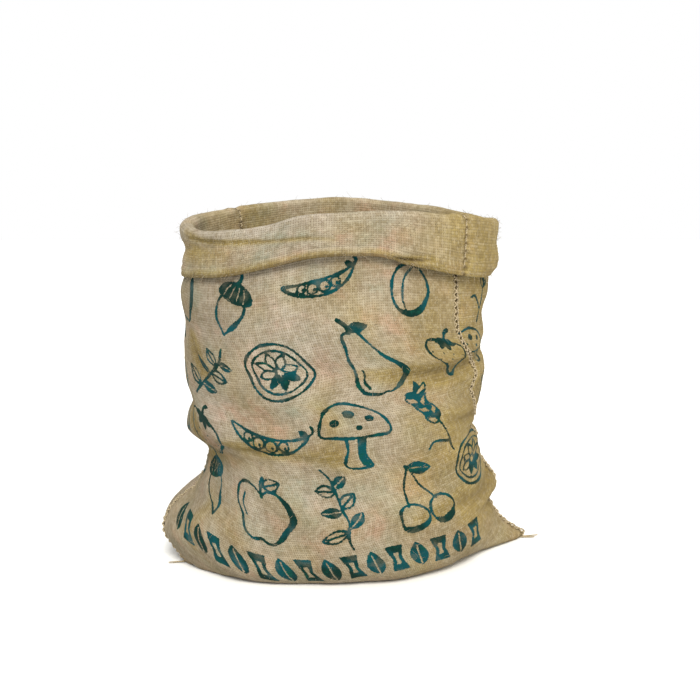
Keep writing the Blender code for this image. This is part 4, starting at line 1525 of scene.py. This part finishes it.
# %% The chain of loops outside, with its loose tails
TWINE = 0.85 * MM         # radius of the thread
LOOP_HALF = 2.9 * MM      # half the width of a loop
LOOP_ROUND = 0.75         # below 1 the loops are rounder than a wave
LOOP_LIFT, LOOP_CROSS = 1.15, 0.55   # over the cloth, and over the other strand (thread radii)
CHAIN_FIRST_ROW, CHAIN_END = 2, 4 * MM   # it ends this far below the neck
TAIL_START, TAIL_LENGTH, TAIL_LOW = 3.5 * MM, 18.5 * MM, 1.5 * MM
TAIL_SWELL = 1.1          # a loose end is this much thicker where it leaves the seam
TAIL_APART, TAIL_STEPS = 0.9 * MM, 13   # half the gap between the two ends
TAIL_OVER = 0.3           # mm by which one lies higher, and the other lower
CHAIN_STEPS = 12          # steps along one stitch
CHAIN_SIDES, NEEDLE_SIDES, HAIR_SIDES = 7, 6, 3   # sides of the tubes


def chain(line, first, last):
    """Two strands that part and meet once a stitch, each over the other in turn."""
    length = np.arange(first, last, STITCH / CHAIN_STEPS)
    beat = math.pi * length / STITCH
    strands = []
    for way in (1, -1):
        aside = way * LOOP_HALF * np.abs(np.sin(beat)) ** LOOP_ROUND
        lift = TWINE * (LOOP_LIFT + LOOP_CROSS * way * np.cos(beat))
        strands.append(by_seam(line, length, aside, lift))
    return np.array([strand[0] for strand in strands]), np.array([strand[1] for strand in strands])


def tail(start, sway):
    """The two loose ends of thread past a lower corner, sinking to the floor."""
    away = np.array([start[0] - AXIS_X, start[1] - AXIS_Y, 0.0])
    away /= np.linalg.norm(away)
    beside = np.array([-away[1], away[0], 0.0])
    share = np.linspace(0, 1, TAIL_STEPS + 1)[:, None]
    length = TAIL_LENGTH + 2 * TAIL_START
    ends = []
    for way, reach_out in ((1, 1.0), (-1, 0.82)):
        path = start + away * length * reach_out * share - away * 2 * TAIL_START
        path = path + beside * (way * TAIL_APART + sway * MM * np.sin(share * 3.0 + way))
        sinking = (start[2] - TAIL_LOW) * (1 - share[:, 0]) ** 2
        path[:, 2] = TAIL_LOW + way * TAIL_OVER * MM + sinking
        path[:, 2] = np.maximum(path[:, 2], TAIL_SWELL * TWINE)
        ends.append(path)
    return np.array(ends)


seam_normals = {"left": facing(wall)[:, 0], "right": facing(wall)[:, COLUMNS]}
for side, column, sway in (("left", 0, 1.2), ("right", COLUMNS, -1.6)):
    outer, _, flat = faces["front"]
    points = outer[:, column]
    along = np.gradient(points, axis=0)
    line = (flat[:, column, 1], points, along, seam_normals[side])
    strands, up = chain(line, float(flat[CHAIN_FIRST_ROW, column, 1]), NECK_AT - CHAIN_END)
    strands[..., 2] = np.maximum(strands[..., 2], TWINE)
    ends = tail(strands[:, 0].mean(axis=0), sway)
    upward = np.broadcast_to([0.0, 0.0, 1.0], ends.shape)
    taper = TWINE * np.linspace(TAIL_SWELL, 0.7, ends.shape[1])
    kinds = [(strands, up, TWINE, CHAIN_SIDES), (ends, upward, taper, CHAIN_SIDES)]
    twine = add_thread("chain_stitch_" + side, kinds, jute_twine)
    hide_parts("seam_twine_" + side)

# %% The short stitches of the needle thread, on the plain face
NEEDLE_GAP = 1.7 * MM     # between one stitch and the next
NEEDLE_FROM, NEEDLE_TO = 4 * MM, 3 * MM   # no stitch is nearer than this to either end
NEEDLE_STEPS = 7          # steps along one stitch
NEEDLE_SLANT = 0.5 * MM
NEEDLE_HIGH, NEEDLE_SUNK = 1.5, 0.6   # its arch, and how deep its ends lie (thread radii)
NEEDLE_THICK = 0.95       # beside the thread of the chain
cuff_seam_normals = {"left": -facing(cuff)[:, 0], "right": -facing(cuff)[:, COLUMNS]}
for side, column in (("left", 0), ("right", COLUMNS)):
    _, inner, flat = faces["front"]
    shows, cuff_flat = cuffs["front"]
    points = np.concatenate([inner[:-1, column], shows[:, column]])
    run = np.concatenate([flat[:-1, column, 1], cuff_flat[:, column, 1]])
    normal = np.concatenate([-seam_normals[side][:-1], cuff_seam_normals[side]])
    line = (run, points, np.gradient(points, axis=0), normal)
    first = np.arange(math.ceil((run[0] + NEEDLE_FROM) / STITCH),
                      math.floor((run[-1] - NEEDLE_TO) / STITCH))
    share = np.linspace(0, 1, NEEDLE_STEPS + 1)
    length = (first[:, None] * STITCH + NEEDLE_GAP / 2 + (STITCH - NEEDLE_GAP) * share)
    slant = NEEDLE_SLANT * (share - 0.5) + np.zeros_like(length)
    arch = NEEDLE_HIGH * np.sin(math.pi * share) ** 0.5 - NEEDLE_SUNK
    lift = TWINE * arch + np.zeros_like(length)
    stitches, up = by_seam(line, length, slant, lift)
    kinds = [(stitches, up, TWINE * NEEDLE_THICK, NEEDLE_SIDES)]
    needle = add_thread("needle_stitch_" + side, kinds, jute_twine)
    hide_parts("cuff_twine_" + side)

# %% [markdown]
# ## Loose fibres
#
# Jute sheds: short stiff hairs stand out of every thread, and they are what makes the outline of
# the sack soft. Some fine ones on the faces that show outside are enough, a little longer at the
# hem, where the cut threads fray. They are seeded, so they grow in the same places each time.

# %% Hairs
FIBRES, FRAYED = 800, 60  # on each panel (half of that on its cuff), and along its hem
HAIR = 0.13 * MM          # radius of a hair where it grows
HAIR_TAPER = (1.0, 1.0, 0.9, 0.7, 0.35)
HAIR_BEND = 0.22          # how far a hair bends off, as a share of its length
ON_CLOTH = (2.5 * MM, 6 * MM, 0.8)   # shortest, longest, and how steeply they may rise
AT_HEM = (3 * MM, 8 * MM, 0.5)
FRAY_THICK, FRAY_HANG = 1.5, 2.5     # at the hem they are thicker, and they hang
BARE_ROWS = 12            # first rows of a face, at the floor or at the neck: they have no hairs


def hairs(rng, base, normal, shortest, longest, rise):
    """Bent hairs that grow from points of the cloth, mostly along it, with some rise."""
    wild = rng.normal(size=base.shape)
    wild -= (wild * normal).sum(axis=1, keepdims=True) * normal
    wild = unit(wild)
    lean = rng.uniform(rise * 0.3, rise, (len(base), 1))
    long = rng.uniform(shortest, longest, (len(base), 1))
    out = (wild + normal * lean) * long
    bend = rng.normal(size=base.shape) * long * HAIR_BEND
    t = np.linspace(0, 1, len(HAIR_TAPER))[None, :, None]
    path = base[:, None] + out[:, None] * t + bend[:, None] * t ** 2
    path[..., 2] = np.maximum(path[..., 2], HAIR)
    return path, np.broadcast_to(normal[:, None] + 0.01 * wild[:, None], path.shape)


rng = np.random.default_rng(11)
parts = []
hair_taper = HAIR * np.array(HAIR_TAPER)
for side in ("front", "back"):
    for face, normals_of, way in ((faces[side][0], facing(wall), 1),
                                  (cuffs[side][0], facing(cuff), -1)):
        normal = way * panel_of(normals_of, side)
        count = FIBRES if way > 0 else FIBRES // 2
        row = rng.integers(BARE_ROWS, len(face) - 1, count)
        column = rng.integers(0, COLUMNS, count)
        path, up = hairs(rng, face[row, column], normal[row, column], *ON_CLOTH)
        parts.append((path, up, hair_taper, HAIR_SIDES))
    column = rng.integers(0, COLUMNS, FRAYED)
    path, up = hairs(rng, cuffs[side][0][-1, column], -panel_of(facing(cuff), side)[-1, column],
                     *AT_HEM)
    path[..., 2] -= np.linspace(0, FRAY_HANG, len(HAIR_TAPER)) ** 2 * MM * 0.5
    parts.append((path, up, hair_taper * FRAY_THICK, HAIR_SIDES))
add_thread("loose_fibres", parts, jute_twine)

# %% [markdown]
# ## Floor and light
#
# A plain pale floor and the light of a bright room. The main light stands far off in front of the
# sack, high and a little to the right. It is a sun and not a lamp, because its light is even over
# the whole floor, and wide, so that its shadows are soft. Two weak lamps warm the right side and
# rim the cuff from behind, and a white sky fills in the rest.

# %% Floor
FLOOR_HALF, FLOOR_DROP = 4, 0.1 * MM   # half its side (m), and how far it lies under the sack

floor_mesh = bpy.data.meshes.new("floor")
floor_mesh.from_pydata([(x * FLOOR_HALF, y * FLOOR_HALF, 0)
                        for x, y in ((-1, -1), (1, -1), (1, 1), (-1, 1))], [], [(0, 1, 2, 3)])
floor = new_object("floor", floor_mesh)
floor.location.z = -FLOOR_DROP
pale, _, pale_surface = new_material("pale_floor")
pale_surface.inputs["Base Color"].default_value = linear("#E5E5E3")
pale_surface.inputs["Roughness"].default_value = 0.9
floor_mesh.materials.append(pale)

# %% Lights and sky
LIGHTS = (
    # name, kind, place, size (m, or degrees for the far one), power (W, or W/m2), colour
    ("main", "SUN", (0.10, -1.0, 1.15), 22, 3.85, "#FFFDF8"),
    ("fill", "AREA", (1.9, -1.3, 0.9), 1.2, 8, "#FFE2A8"),
    ("rim", "AREA", (0.2, 1.6, 1.6), 1.2, 8, "#FFFFFF"),
)
for name, kind, place, size, power, colour in LIGHTS:
    lamp = bpy.data.lights.new(name, kind)
    if kind == "SUN":
        lamp.angle = math.radians(size)
    else:
        lamp.shape = "DISK"
        lamp.size = size
    lamp.energy = power
    lamp.color = linear(colour)[:3]
    light = new_object(name, lamp)
    light.location = place
    aim = Vector((0, 0, 0.18)) - light.location
    light.rotation_euler = aim.to_track_quat("-Z", "Y").to_euler()

sky = bpy.data.worlds.new("sky")
bpy.context.scene.world = sky
sky.use_nodes = True
sky.node_tree.nodes["Background"].inputs["Color"].default_value = linear("#FFFFFF")
sky.node_tree.nodes["Background"].inputs["Strength"].default_value = 1.0
bpy.context.scene.view_settings.view_transform = "Standard"
